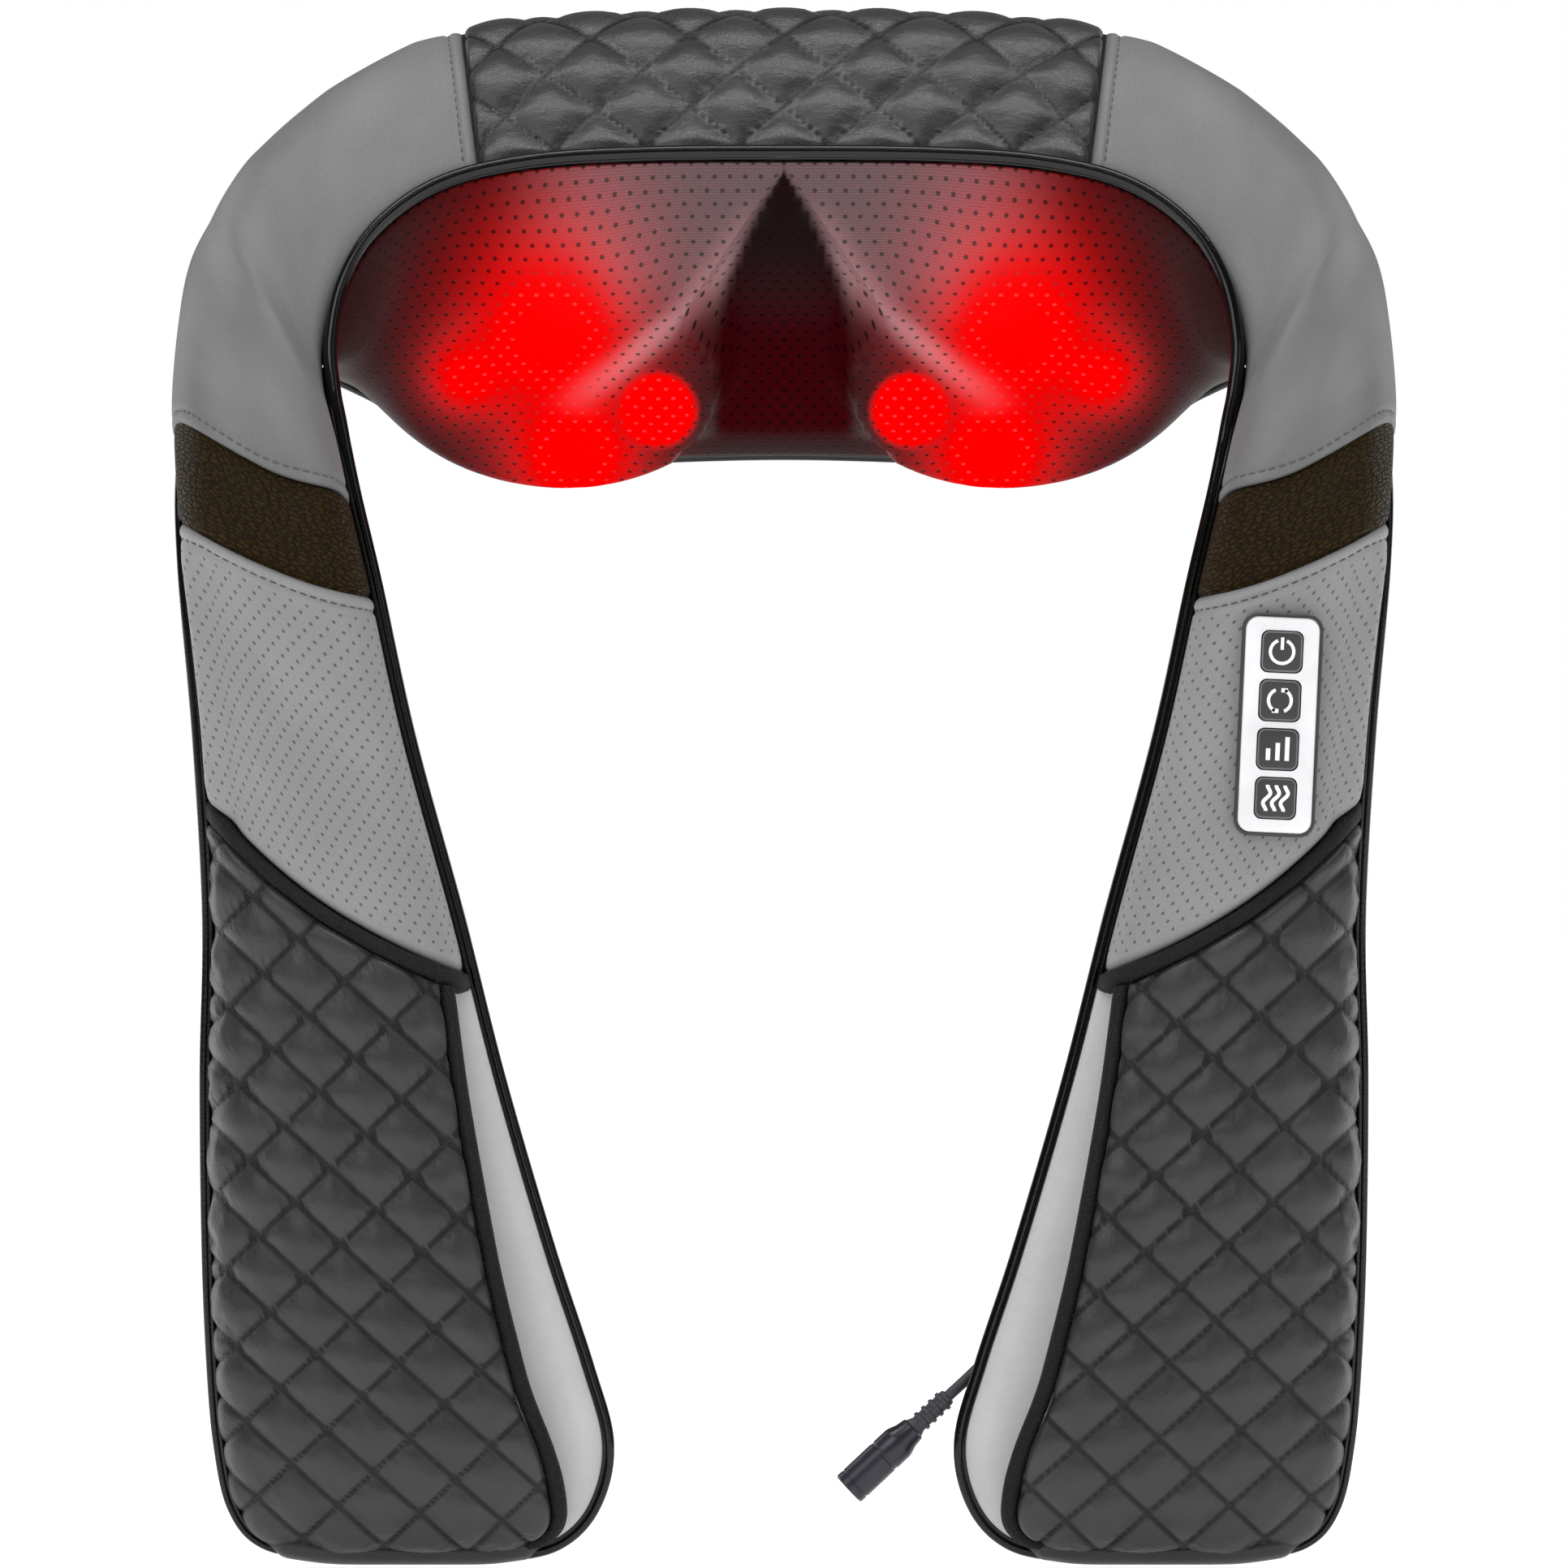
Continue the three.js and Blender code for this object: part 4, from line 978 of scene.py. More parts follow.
def stitch_distance(first, second, steps):
    """Millimetres to the nearest stitch line of a lattice."""
    area = abs(steps[0][0] * steps[1][1] - steps[0][1] * steps[1][0])
    to_first = from_line(first) * area / math.hypot(*steps[1])
    to_second = from_line(second) * area / math.hypot(*steps[0])
    return np.minimum(to_first, to_second)


def quilted_collar():
    grid = Grid(front_surface, level(GROOVE - QUILT_END), level(QUILT_END - GROOVE), step=1.7)
    grid.face_out(outward(grid.k))
    grid.pattern_a = mirrored(on_edge("inner", np.abs(grid.k)), grid.k < 0)[..., 0]
    grid.pattern_b = grid.across * 1.0
    height, first, second = quilted(grid, COLLAR_DIAMOND, (0, COLLAR_FIRST_ROW), 2.4, 3.2, 3.5, 0.012)
    height = height - QUILT_DROP
    near = stitch_distance(first, second, COLLAR_DIAMOND)
    panel = sheet("quilted_collar", grid, height, MATERIALS["collar"], 1.8, {"stitch": near})
    ride = lambda obj: finish_piece(obj, body="collar")
    finish_piece(panel, "collar", replaces=("quilted_collar_panel", "collar_foam"))
    lines = lattice_lines(grid, grid.raised(height), (first, second))
    sewn("quilted_collar_stitching", lines, MATERIALS["dark_thread"], ride, pitch=3.1, radius=0.22)


def topstitching(name, label, grid, height, ends):
    """Stitches beside a cover's first seam, its last, or both: ends holds False, True or both."""
    attach = lambda obj: finish_piece(obj)
    lines = [seam_line(grid, grid.raised(height), TOPSTITCH, end, 1.5) for end in ends]
    sewn(f"{name}_{label}", lines, MATERIALS["grey_thread"], attach, label == "left")


def seam_tape(name, seam, label, material="trim_leather"):
    """The allowance behind a seam, so that nothing shows through between two panels."""
    grid = front_grid(beside(seam, -TAPE_HALF), beside(seam, TAPE_HALF), fine=(0.5,))
    height = shoulder_bulge(grid) - 1.1
    cover(f"{name}_tape", label, grid, height, "trim_leather", material=material, thick=1.0)


def shoulder(label):
    grid = front_grid(level(QUILT_END + GROOVE), beside(band_top_seam, -GROOVE))
    relaxed(grid, 5.0)
    height = leather_height(grid) + topstitched(grid.start) + topstitched(grid.end) + shoulder_bulge(grid)
    cover("shoulder_leather", label, grid, height, "grey_leather", stands_for="shoulder_panel")
    topstitching("shoulder_stitching", label, grid, height, (False, True))


def soft(share):
    share = np.clip(share, 0, 1)
    return share * share * (3 - 2 * share)


def drive_place(points):
    """Drawing points in the drive's own frame."""
    x, y, z = np.moveaxis(points - np.array([0, 34, 435.5]), -1, 0)
    c, s = math.cos(PAD_TILT), math.sin(PAD_TILT)
    return x, c * y + s * z, c * z - s * y


def valley_edge(y):
    """Half the width of the valley between the two mounds, at a distance down the pad."""
    beside_ring = HEAD_X - np.sqrt(np.maximum(0, SWEPT_R**2 - (y - HEAD_Y) ** 2))
    return np.clip(np.minimum(0.62 * y, beside_ring), 0, 34)


def mound(x, y):
    """Height of the cover over a massage head, as a share: full over the ring that the nodes sweep."""
    dx, dy = x - HEAD_X, y - HEAD_Y
    d = np.hypot(dx, dy)
    fall = 11 + 36 * np.maximum(0, -dy / d) ** 2 + np.where(dx < 0, 10, 16) * (dx / d) ** 2
    rounded = np.where(d <= SWEPT_R, 1, 0.5 + 0.5 * np.cos(np.pi * np.clip((d - SWEPT_R) / fall, 0, 1)))
    ring_top = HEAD_Y - np.sqrt(np.maximum(0, SWEPT_R**2 - np.clip(dx, -36, 40) ** 2))
    tent = np.clip(y / ring_top, 0, 1) * np.clip((118 - x) / 26, 0, 1) * np.clip((HEAD_Y + 12 - y) / 24, 0, 1)
    return np.maximum(rounded, tent**1.1)


def cover_rise(x, y):
    x = np.abs(x)
    edge = valley_edge(y)
    inside = np.clip((edge - x) / (2.5 + 0.42 * edge), 0, 1)
    return mound(np.maximum(x, edge), y) * (1 - inside) ** 2


# The painted valley shadow's half width and the painted ridge highlight's distance out, each after its
# height;
# then the bumps over the massage nodes: angle round the head, height, radius.
VALLEY_SHADE_LINE = ((338, 22), (352, 22), (385, 20.5), (399, 18), (410, 13.5), (420, 7.5), (431, 0))
RIDGE_HIGHLIGHT_LINE = ((346, 50), (352, 62), (360, 64), (367, 57), (374, 48), (388, 31), (404, 17), (431, 2))
NODE_BUMPS = ((-83, 1.3, 17), (97, 1.0, 17), (164, 1.6, 11), (-16, 1.2, 11))


def mesh_surface(k, v):
    s = Section(np.abs(k))
    base = s.point(v, -s.back * np.minimum(0.96, dome(v, 3)) - 1.2, 0.5)
    x, y, z = drive_place(base)
    lift = np.maximum(0, COVER_REACH + z) * cover_rise(x, y) * np.minimum(1, 2 * dome(v, 2))
    for angle, height, radius in NODE_BUMPS:
        spot_x = HEAD_X + NODE_CIRCLE * math.cos(math.radians(angle))
        spot_y = HEAD_Y + NODE_CIRCLE * math.sin(math.radians(angle))
        near = np.hypot(x - spot_x, y - spot_y) / radius
        lift = lift + height * np.exp(-(near**2))
    out = np.array([0, math.sin(PAD_TILT), -math.cos(PAD_TILT)])
    return base + out * lift[..., None]


def mesh_cover(label):
    grid = Grid(mesh_surface, zero, level(MESH_END - GROOVE), step=1.35)
    grid.face_out(np.array([0, -0.6, -0.8]))
    flat = Section(grid.k)
    x, z = grid.base[..., 0], grid.base[..., 2]
    # Painted shadow: the valley between the mounds is marked dark, darkest near its apex.
    valley_shade = np.interp(z, *zip(*VALLEY_SHADE_LINE))
    shadow = soft((valley_shade - x) / np.clip(valley_shade * 0.4, 1.2, 6) + 0.5) * soft((z - 346) / 9)
    # Painted highlight along the ridge beside the valley.
    from_ridge = x - np.interp(z, *zip(*RIDGE_HIGHLIGHT_LINE))
    ridge_highlight = np.exp(-((from_ridge / 6.5) ** 2)) * soft((z - 354) / 14) * (1 - shadow)
    # The lit middle of the cover; shade is painted outside it, towards the outer corners and the bottom.
    lit = soft((96 - x) / 46) * soft((z - 372) / 34)
    grid.across, grid.along = distances(flat.point(grid.v, 0 * grid.v))
    height = -roll(grid.outer, 1.6) - roll(grid.inner, 1.6)
    values = {"valley_shade": shadow, "ridge": ridge_highlight * soft((428 - z) / 26), "lit": lit}
    values["apex_shade"] = soft((z - 376) / 36)
    panel = sheet(f"perforated_mesh_{label}", grid, height, massage_mesh(label), 1.2, values, label == "left")
    flat_shaded(panel, 1.0)
    finish_piece(panel, replaces=("mesh_cover",) if label == "right" else ())


def cord_path(stations, radius, outside):
    edge = "outer" if outside else "inner"
    back, ahead = stations - 0.05, np.minimum(LAST, stations + 0.05)
    travel = unit(on_edge(edge, ahead) - on_edge(edge, back))
    normal = Section(stations).normal
    away = unit(np.cross(normal, travel))
    distance = (radius + PIPING_GAP) * (1 if outside else -1) + 0 * stations
    return on_edge(edge, stations) + away * distance[:, None], normal


def piping(name, radius, outside, label, replaces):
    stations = np.concatenate([[-0.15, -0.1, -0.05], np.linspace(0, 18.25 if outside else 18.5, 420)])
    share = 1 + np.minimum(0, stations)
    radius = radius * (0.84 - 0.16 * soft((stations - 6) / 4))
    path, normal = cord_path(stations, radius, outside)
    welt, _ = cord_path(stations, -PIPING_GAP + 0.3, outside)
    main = tube(path, normal, (radius + 0.2) * share, 14)
    seam = tube(welt, normal, (0.9 + 0.35 * radius) * share, 10)
    points, faces = joined([main[:2], seam[:2]])
    uv = np.vstack([main[2], seam[2]])
    if label == "left":
        points, faces = flipped(points, faces)
    obj = make_object(name, points, faces, MATERIALS["piping_vinyl"], uv)
    finish_piece(obj, replaces=replaces)


def build_collar():
    quilted_collar()
    for label in SIDES:
        shoulder(label)
        mesh_cover(label)
        seam_tape("collar_seam", level(QUILT_END), label)
        seam_tape("band_top", band_top_seam, label, "brown_leather")
        seam_tape("band_end", band_end_seam, label, "brown_leather")
        for place, radius in (("inner", PIPING_INNER_R), ("outer", PIPING_OUTER_R)):
            nodes = [f"{place}_piping_{label}"] + ([f"{place}_piping_collar"] if label == "right" else [])
            piping(f"{place}_cord_{label}", radius, place == "outer", label, nodes)


# ---------- the arms ----------
def accent_band(label):
    grid = front_grid(beside(band_top_seam, -BAND_OVERLAP), beside(band_end_seam, -GROOVE))
    height = -roll(grid.edge, 1.3) - 0.35 + shoulder_bulge(grid)
    cover("accent_leather", label, grid, height, "brown_leather", stands_for="accent_band")


def perforated_panel(label):
    grid = front_grid(beside(band_end_seam, GROOVE), beside(pocket_top_seam, -GROOVE), step=2.0)
    ridge = 1.5 * np.exp(-(((grid.outer - 9) / 4.5) ** 2)) - 1.2 * np.exp(-(((grid.outer - 19) / 4) ** 2))
    ridge = ridge * np.clip(grid.start / 12, 0, 1)
    height = leather_height(grid) + topstitched(grid.start) + ridge + shoulder_bulge(grid)
    cover("perforated_leather", label, grid, height, "perforated_leather", stands_for="perforated_panel")
    topstitching("perforated_stitching", label, grid, height, (False,))


def pocket_trim(label):
    top, end = beside(pocket_top_seam, GROOVE), beside(pocket_top_seam, TRIM - GROOVE)
    grid = front_grid(top, end, fine=(0.25, 0.8, 1.6))
    height = 0.5 - roll(np.minimum(grid.start, grid.end), 2.2) - roll(grid.edge, 0.8)
    cover("trim_leather", label, grid, height, "trim_leather", f"arm_{label}", "pocket_trim")


def pocket_top(v):
    return pocket_top_seam(v) + TRIM + GROOVE


def hand_pocket():
    """The right pocket's grid, heights and stitch lines; the left one is its mirror image."""
    after_binding = lambda k: pocket_edge(k) + BINDING + 0.004
    grid = Grid(front_surface, pocket_top, level(LAST), after_binding, one, 1.6)
    grid.face_out(outward(grid.k))
    grid.pattern_a = grid.base[..., 0]
    grid.pattern_b = grid.base[..., 2]
    height, first, second = quilted(grid, ARM_DIAMOND, (136, 100), 1.9, 2.4, 3.6, 0.018, by_column=True)
    return grid, height - QUILT_DROP, first, second


def pocket_pieces(label, pocket):
    grid, height, first, second = pocket
    body = f"arm_{label}"
    shape = {"thick": 1.8, "values": {"stitch": stitch_distance(first, second, ARM_DIAMOND)}}
    cover("quilted_pocket", label, grid, height, "quilted_leather", body, "hand_pocket arm_foam", **shape)
    lines = lattice_lines(grid, grid.raised(height), (first, second), by_column=True)
    ride = lambda obj: finish_piece(obj, body)
    thread, mirror = MATERIALS["dark_thread"], label == "left"
    sewn(f"pocket_stitching_{label}", lines, thread, ride, mirror, pitch=3.1, radius=0.24)
    rows = (beside(pocket_top, 0.01), level(18.6))
    binding = front_grid(*rows, pocket_edge, lambda k: pocket_edge(k) + BINDING, 1.6, (0.25, 0.8))
    rise = 1.2 - roll(np.minimum(binding.inner, binding.outer), 2.6)
    obj = sheet(f"pocket_binding_{label}_cover", binding, rise, MATERIALS["trim_leather"], 3.2, mirror=mirror)
    finish_piece(obj, body, replaces=(f"pocket_binding_{label}",))


def lining_surface(k, v):
    s = Section(k)
    return s.point(v, 4.4 * dome(v, 5) + 0.2)


def pocket_lining(label):
    grid = Grid(lining_surface, beside(pocket_top_seam, 0.02), level(18.8), zero, half, 3.0)
    grid.face_out(outward(grid.k))
    body, flat = f"arm_{label}", 0 * grid.k
    cover("lining_cloth", label, grid, flat, "lining_fabric", body, "pocket_lining", thick=1.0)


def back_panel(label):
    grid = Grid(back_surface, level(MESH_END + GROOVE), level(LAST), step=3.0)
    grid.face_out(-outward(grid.k))
    height = leather_height(grid) + topstitched(grid.start)
    cover("back_leather", label, grid, height, "grey_leather", stands_for="arm_back_panel")


def toe_hem(label):
    """The turned hem that closes the arm's end between the front and back covers."""
    outside = on_edge("outer", np.linspace(18.0, LAST, 16))
    inside = on_edge("inner", np.linspace(LAST, 18.2, 16))
    across = np.linspace(0, 1, 24)[1:-1, None]
    path = np.vstack([outside, outside[-1] * (1 - across) + inside[0] * across, inside])
    for _ in range(12):
        path[1:-1] += (path[:-2] + path[2:] - 2 * path[1:-1]) / 4
    ends = np.minimum(np.arange(len(path)), np.arange(len(path))[::-1]) / 6
    radius = 1.6 + 2.6 * soft(ends)
    points, faces, uv = tube(path + [0, 0, 0.3], np.array([0, -1.0, 0]), radius, 24, tall=1.35)
    if label == "left":
        points, faces = flipped(points, faces)
    far = np.full(len(points), FAR_FROM_SEAM)
    values = {"edge": far, "stitch": far}
    obj = make_object(f"toe_hem_{label}", points, faces, MATERIALS["quilted_leather"], uv, values)
    finish_piece(obj, f"arm_{label}")


def build_arms():
    pocket = hand_pocket()
    for label in SIDES:
        for build in (accent_band, perforated_panel, pocket_trim):
            build(label)
        pocket_pieces(label, pocket)
        for build in (pocket_lining, back_panel, toe_hem):
            build(label)


# ---------- the control panel, in its own frame: x across, y up the arm, z out of it ----------
PANEL_AT = np.array([151.8, -20.3, 259.3])
PANEL_LEAN = math.radians(2.6)
PANEL_AXES = np.array([
    [math.cos(PANEL_LEAN), 0, -math.sin(PANEL_LEAN)],
    [math.sin(PANEL_LEAN), 0, math.cos(PANEL_LEAN)],
    [0, -1, 0],
])
PANEL_SIZE = (25.0, 68.5)
BUTTON_PITCH, BUTTON_SIDE = 15.0, 12.4
RIM_BACK, RIM_TOP = -2.6, 2.4
PLATE_BACK, PLATE_TOP = 0.4, 2.4
CAP_BACK, CAP_TOP = 0.9, 3.0


def on_panel(points):
    return PANEL_AT + np.asarray(points, float) @ PANEL_AXES


def rounded_outline(width, height, radius, per_corner=9, centre=(0, 0)):
    corners = [(1, 1, 0), (-1, 1, 90), (-1, -1, 180), (1, -1, 270)]
    points = []
    for sx, sy, start in corners:
        for angle in np.radians(start + np.linspace(0, 90, per_corner)):
            x = sx * (width / 2 - radius) + radius * math.cos(angle)
            points.append((centre[0] + x, centre[1] + sy * (height / 2 - radius) + radius * math.sin(angle)))
    return np.array(points)


def filled(loops):
    """Faces that fill an outline with holes; loops are 2-D outlines, indexed one after another."""
    return [tuple(f) for f in tessellate_polygon([[Vector((x, y, 0)) for x, y in loop] for loop in loops])]


def plate_with_holes(outer_loops, hole_loops):
    """A closed plate: loops are lists of (outline, z) from the underside's edge to the top's edge."""
    points, faces, tops, unders = [], [], [], []
    start = 0
    for loops, hole in [(outer_loops, False)] + [(h, True) for h in hole_loops]:
        count = len(loops[0][0])
        for outline, z in loops:
            points.append(np.column_stack([outline, np.full(count, z)]))
        side = ring_faces(len(loops), count, start)
        faces += [tuple(f) for f in (side[:, ::-1] if hole else side)]
        unders.append(start + np.arange(count))
        tops.append(start + (len(loops) - 1) * count + np.arange(count))
        start += count * len(loops)
    everything = [outer_loops] + list(hole_loops)
    for index, ids, flip in ((-1, np.concatenate(tops), False), (0, np.concatenate(unders), True)):
        for f in filled([loops[index][0] for loops in everything]):
            a, b, c = (points_2d(everything, index)[i] for i in f)
            ccw = (b[0] - a[0]) * (c[1] - a[1]) - (b[1] - a[1]) * (c[0] - a[0]) > 0
            corner = f if ccw != flip else f[::-1]
            faces.append(tuple(int(ids[i]) for i in corner))
    return np.vstack(points), faces


def points_2d(everything, index):
    return np.vstack([loops[index][0] for loops in everything])


def bevelled(width, height, radius, z0, z1, bevel, centre=(0, 0), steps=4):
    """Loops of a plate with a rounded upper edge."""
    loops = [(rounded_outline(width, height, radius, centre=centre), z0)]
    for turn in np.linspace(0, np.pi / 2, steps + 1):
        cut = bevel * (1 - math.cos(turn))
        outline = rounded_outline(width - 2 * cut, height - 2 * cut, max(0.3, radius - cut), centre=centre)
        loops.append((outline, z1 - bevel + bevel * math.sin(turn)))
    return loops


def flat_shaded(obj, angle=0.6):
    """Keeps flat faces flat and rounds smooth, by sharp edges where faces meet steeply."""
    obj.data.set_sharp_from_angle(angle=angle)
    return obj


def panel_piece(name, shape, material, slot, body, replaces=()):
    points, faces = shape
    values = {"edge": np.full(len(points), FAR_FROM_SEAM)}
    obj = make_object(name, on_panel(points), faces, material, points[:, :2], values)
    return finish_piece(flat_shaded(obj), body, replaces=replaces)


def ribbon(path, width, z0, z1):
    """A flat raised line of an icon along a 2-D path."""
    path = np.array(path, float)
    travel = unit(np.gradient(path, axis=0))
    side = np.stack([-travel[:, 1], travel[:, 0]], 1) * width / 2
    left, right = path + side, path - side
    n = len(path)
    points = np.vstack([np.column_stack([p, np.full(n, z)]) for z in (z0, z1) for p in (left, right)])
    i = np.arange(n - 1)
    faces = [np.stack([2 * n + i, 3 * n + i, 3 * n + i + 1, 2 * n + i + 1], 1)]
    faces += [np.stack([i, i + 1, n + i + 1, n + i], 1)]
    faces += [np.stack([i, 2 * n + i, 2 * n + i + 1, i + 1], 1)]
    faces += [np.stack([n + i, n + i + 1, 3 * n + i + 1, 3 * n + i], 1)]
    ends = [(0, n, 3 * n, 2 * n), (n - 1, 3 * n - 1, 4 * n - 1, 2 * n - 1)]
    return points, [tuple(f) for block in faces for f in block] + ends


def arc_path(radius, start, end, centre=(0, 0), count=28):
    angle = np.radians(np.linspace(start, end, count))
    return np.column_stack([centre[0] + radius * np.cos(angle), centre[1] + radius * np.sin(angle)])


def icon_strokes(use):
    """2-D strokes of a button's icon as (path, width)."""
    if use == "power":
        return [(arc_path(3.6, 112, 428), 1.0), ([(0, 0.6), (0, 2.6), (0, 4.4)], 1.0)]
    if use == "direction":
        strokes = []
        for turn in (0, 180):
            strokes.append((arc_path(3.5, turn - 66, turn + 66), 1.0))
            tip = arc_path(3.5, turn + 66, turn + 67, count=2)[0]
            inwards = -np.sign(tip[0]) * np.array([1.0, 0.0])
            strokes.append(([tip - inwards * 0.9, tip + inwards * 0.2, tip + inwards * 1.1], 1.3))
        return strokes
    if use == "speed":
        return [([(x, -3.4), (x, -2), (x, top)], 1.35) for x, top in ((-2.9, 0.2), (0, 2.0), (2.9, 3.9))]
    wave = np.linspace(-4.0, 4.0, 36)
    sway = 0.75 * np.sin(wave * 1.15) + 0.22 * wave
    return [(np.column_stack([x + sway, wave]), 1.15) for x in (-2.7, 0, 2.7)]


def build_panel():
    width, height = PANEL_SIZE
    rim_hole = [(rounded_outline(width - 1.9, height - 1.9, 4.2), z) for z in (RIM_BACK, RIM_TOP - 0.1)]
    rim = plate_with_holes(bevelled(width, height, 5.0, RIM_BACK, RIM_TOP, 0.6), [rim_hole])
    panel_piece("panel_rim", rim, MATERIALS["rim"], "trim_leather", "arm_right", ("control_rim",))
    centres = [n * BUTTON_PITCH for n in (1.5, 0.5, -0.5, -1.5)]
    mouths = [rounded_outline(BUTTON_SIDE + 0.7, BUTTON_SIDE + 0.7, 2.4, centre=(0, y)) for y in centres]
    holes = [[(mouth, z) for z in (PLATE_BACK, PLATE_TOP)] for mouth in mouths]
    plate = plate_with_holes(bevelled(width - 2.0, height - 2.0, 4.1, PLATE_BACK, PLATE_TOP, 0.9), holes)
    finish = (MATERIALS["white"], "white_plastic", "arm_right")
    panel_piece("white_faceplate", plate, *finish, ("control_faceplate",))
    for use, y in zip(("power", "direction", "speed", "heat"), centres):
        body = f"{use}_button"
        cap = plate_with_holes(bevelled(BUTTON_SIDE, BUTTON_SIDE, 2.3, CAP_BACK, CAP_TOP, 0.5, (0, y)), [])
        obj = panel_piece(f"{use}_cap", cap, MATERIALS["button"], "button_plastic", body, (f"button_{use}",))
        obj.data.materials.append(MATERIALS["outline"])
        for face in obj.data.polygons:
            level = (face.center.y * 1000 + ORIGIN[1] - PANEL_AT[1]) * -1
            if abs(face.normal.y) < 0.985 and level > CAP_TOP - 0.45:
                face.material_index = 1
        shapes = []
        for path, thick in icon_strokes(use):
            shapes.append(ribbon(np.array(path, float) + [0, y], thick, CAP_TOP - 0.1, CAP_TOP + 0.12))
        panel_piece(f"{use}_icon", joined(shapes), MATERIALS["icon"], "white_plastic", body)


# ---------- the power cable ----------
CABLE_ROUTE = ((92, 5, 84), (82, 7, 78), (72, 10, 71), (63, 10.8, 64), (56, 8, 57.5))
SOCKET_TOP = np.array([50.5, 6, 52.5])
SOCKET_AXIS = unit(np.array([-0.73, 0, -0.683]))
SOCKET_LENGTH, STRAIN_LENGTH = 42, 14
# The socket's radii: after the strain relief, and back from its open end.
SOCKET_NECK = ((0, 3.3), (0.5, 4), (3.5, 4.4), (6, 5.3), (7, 5.5), (12, 5.5), (12.3, 5.25), (13, 5.25))
SOCKET_NECK += ((13.3, 5.5),)
SOCKET_MOUTH = ((3.2, 5.5), (3, 5.3), (2.5, 5.3), (2.3, 5.5), (0.5, 5.5), (0, 5), (0, 3.1), (0.3, 2.9))
SOCKET_MOUTH += ((9.5, 2.9),)


def smooth_path(points, count):
    points = np.array(points, float)
    points = np.vstack([2 * points[0] - points[1], points, 2 * points[-1] - points[-2]])
    at = np.linspace(0, len(points) - 3 - 1e-9, count)
    i = at.astype(int)
    t = (at - i)[:, None]
    p0, p1, p2, p3 = (points[i + n] for n in range(4))
    squared, cubed = 2 * p0 - 5 * p1 + 4 * p2 - p3, 3 * p1 - p0 - 3 * p2 + p3
    return 0.5 * (2 * p1 + (p2 - p0) * t + squared * t**2 + cubed * t**3)


def cable_piece(name, points, faces, material, uv, node):
    obj = make_object(name, points, faces, MATERIALS[material], uv)
    return finish_piece(obj, "arm_right", replaces=(node,))


def build_cable():
    route = list(CABLE_ROUTE) + [tuple(SOCKET_TOP - SOCKET_AXIS * 1.2), tuple(SOCKET_TOP + SOCKET_AXIS * 3)]
    points, faces, uv = tube(smooth_path(route, 80), np.array([0, 1.0, 0]), 1.75, 16)
    cable_piece("cable_jacket", points, faces, "rubber", uv, "power_cable")
    relief = [(-0.2, 2.0), (0.1, 2.5), (1.0, 2.7)]
    for rib in range(4):
        start = 1.4 + rib * 2.9
        shape = ((0, 2.6), (0.2, 3.2), (1.3, 3.3), (1.5, 2.7), (2.2, 2.6))
        relief += [(start + along, radius) for along, radius in shape]
    relief += [(STRAIN_LENGTH + 0.3, 3.4)]
    points, faces = lathe(SOCKET_TOP, SOCKET_AXIS, relief)
    uv, node = points[:, :2], "cable_strain_relief"
    flat_shaded(cable_piece("ribbed_strain_relief", points, faces, "rubber", uv, node))
    start = STRAIN_LENGTH + 0.2
    profile = [(start + along, radius) for along, radius in SOCKET_NECK]
    profile += [(SOCKET_LENGTH - along, radius) for along, radius in SOCKET_MOUTH]
    barrel = lathe(SOCKET_TOP, SOCKET_AXIS, profile, 56)
    pin_start = SOCKET_TOP + SOCKET_AXIS * (SOCKET_LENGTH - 9.6)
    pin = lathe(pin_start, SOCKET_AXIS, [(0, 0.8), (6.5, 0.8), (7, 0.5)], 20)
    points, faces = joined([barrel, pin])
    flat_shaded(cable_piece("socket_barrel", points, faces, "barrel", points[:, :2], "power_socket"))


# ---------- finishes ----------
def make_materials():
    pale = (132, 132, 133), (148, 148, 149), 0.56
    return {
        "grey_leather": leather("grey_leather", (102, 102, 103), (124, 124, 125), 0.56),
        "perforated_leather": leather("perforated_leather", *pale, perforated=True),
        "brown_leather": grained_leather("brown_leather", (21, 13, 0), (58, 42, 5), 0.5, 0.5, 0.0006),
        "quilted_leather": quilt_leather("quilted_leather", (29, 29, 30), (41, 41, 42)),
        # The collar's quilted leather is a darker copy of the pocket's: painted shade that takes back the
        # light the collar catches from above, with darker creases.
        "collar": quilt_leather("quilted_collar_leather_shaded", (20, 20, 21), (30, 30, 31), 0.38, 0.45),
        "trim_leather": grained_leather("trim_leather", (26, 26, 27), (44, 44, 45), 0.5, 1.3, 0.0002),
        "lining_fabric": woven("lining_fabric", (198, 198, 199), (224, 224, 225)),
        "piping_vinyl": vinyl("piping_vinyl"),
        "grey_thread": woven("grey_thread", (84, 84, 85), (112, 112, 113), 0.2, 0.8),
        "dark_thread": woven("dark_thread", (20, 20, 21), (36, 36, 37), 0.2, 0.8),
        "white": moulded("white_plastic", (222, 222, 224), 0.3),
        "button": moulded("button_plastic", (48, 48, 50), 0.45),
        "outline": moulded("button_outline", (96, 96, 99), 0.35),
        "icon": moulded("icon_print", (236, 236, 238), 0.45),
        "rim": moulded("rim_plastic", (46, 46, 48), 0.4),
        "rubber": moulded("cable_rubber", (52, 52, 58), 0.5, grain=0.00008),
        "barrel": moulded("barrel_plastic", (44, 44, 52), 0.3, 0.35),
    }


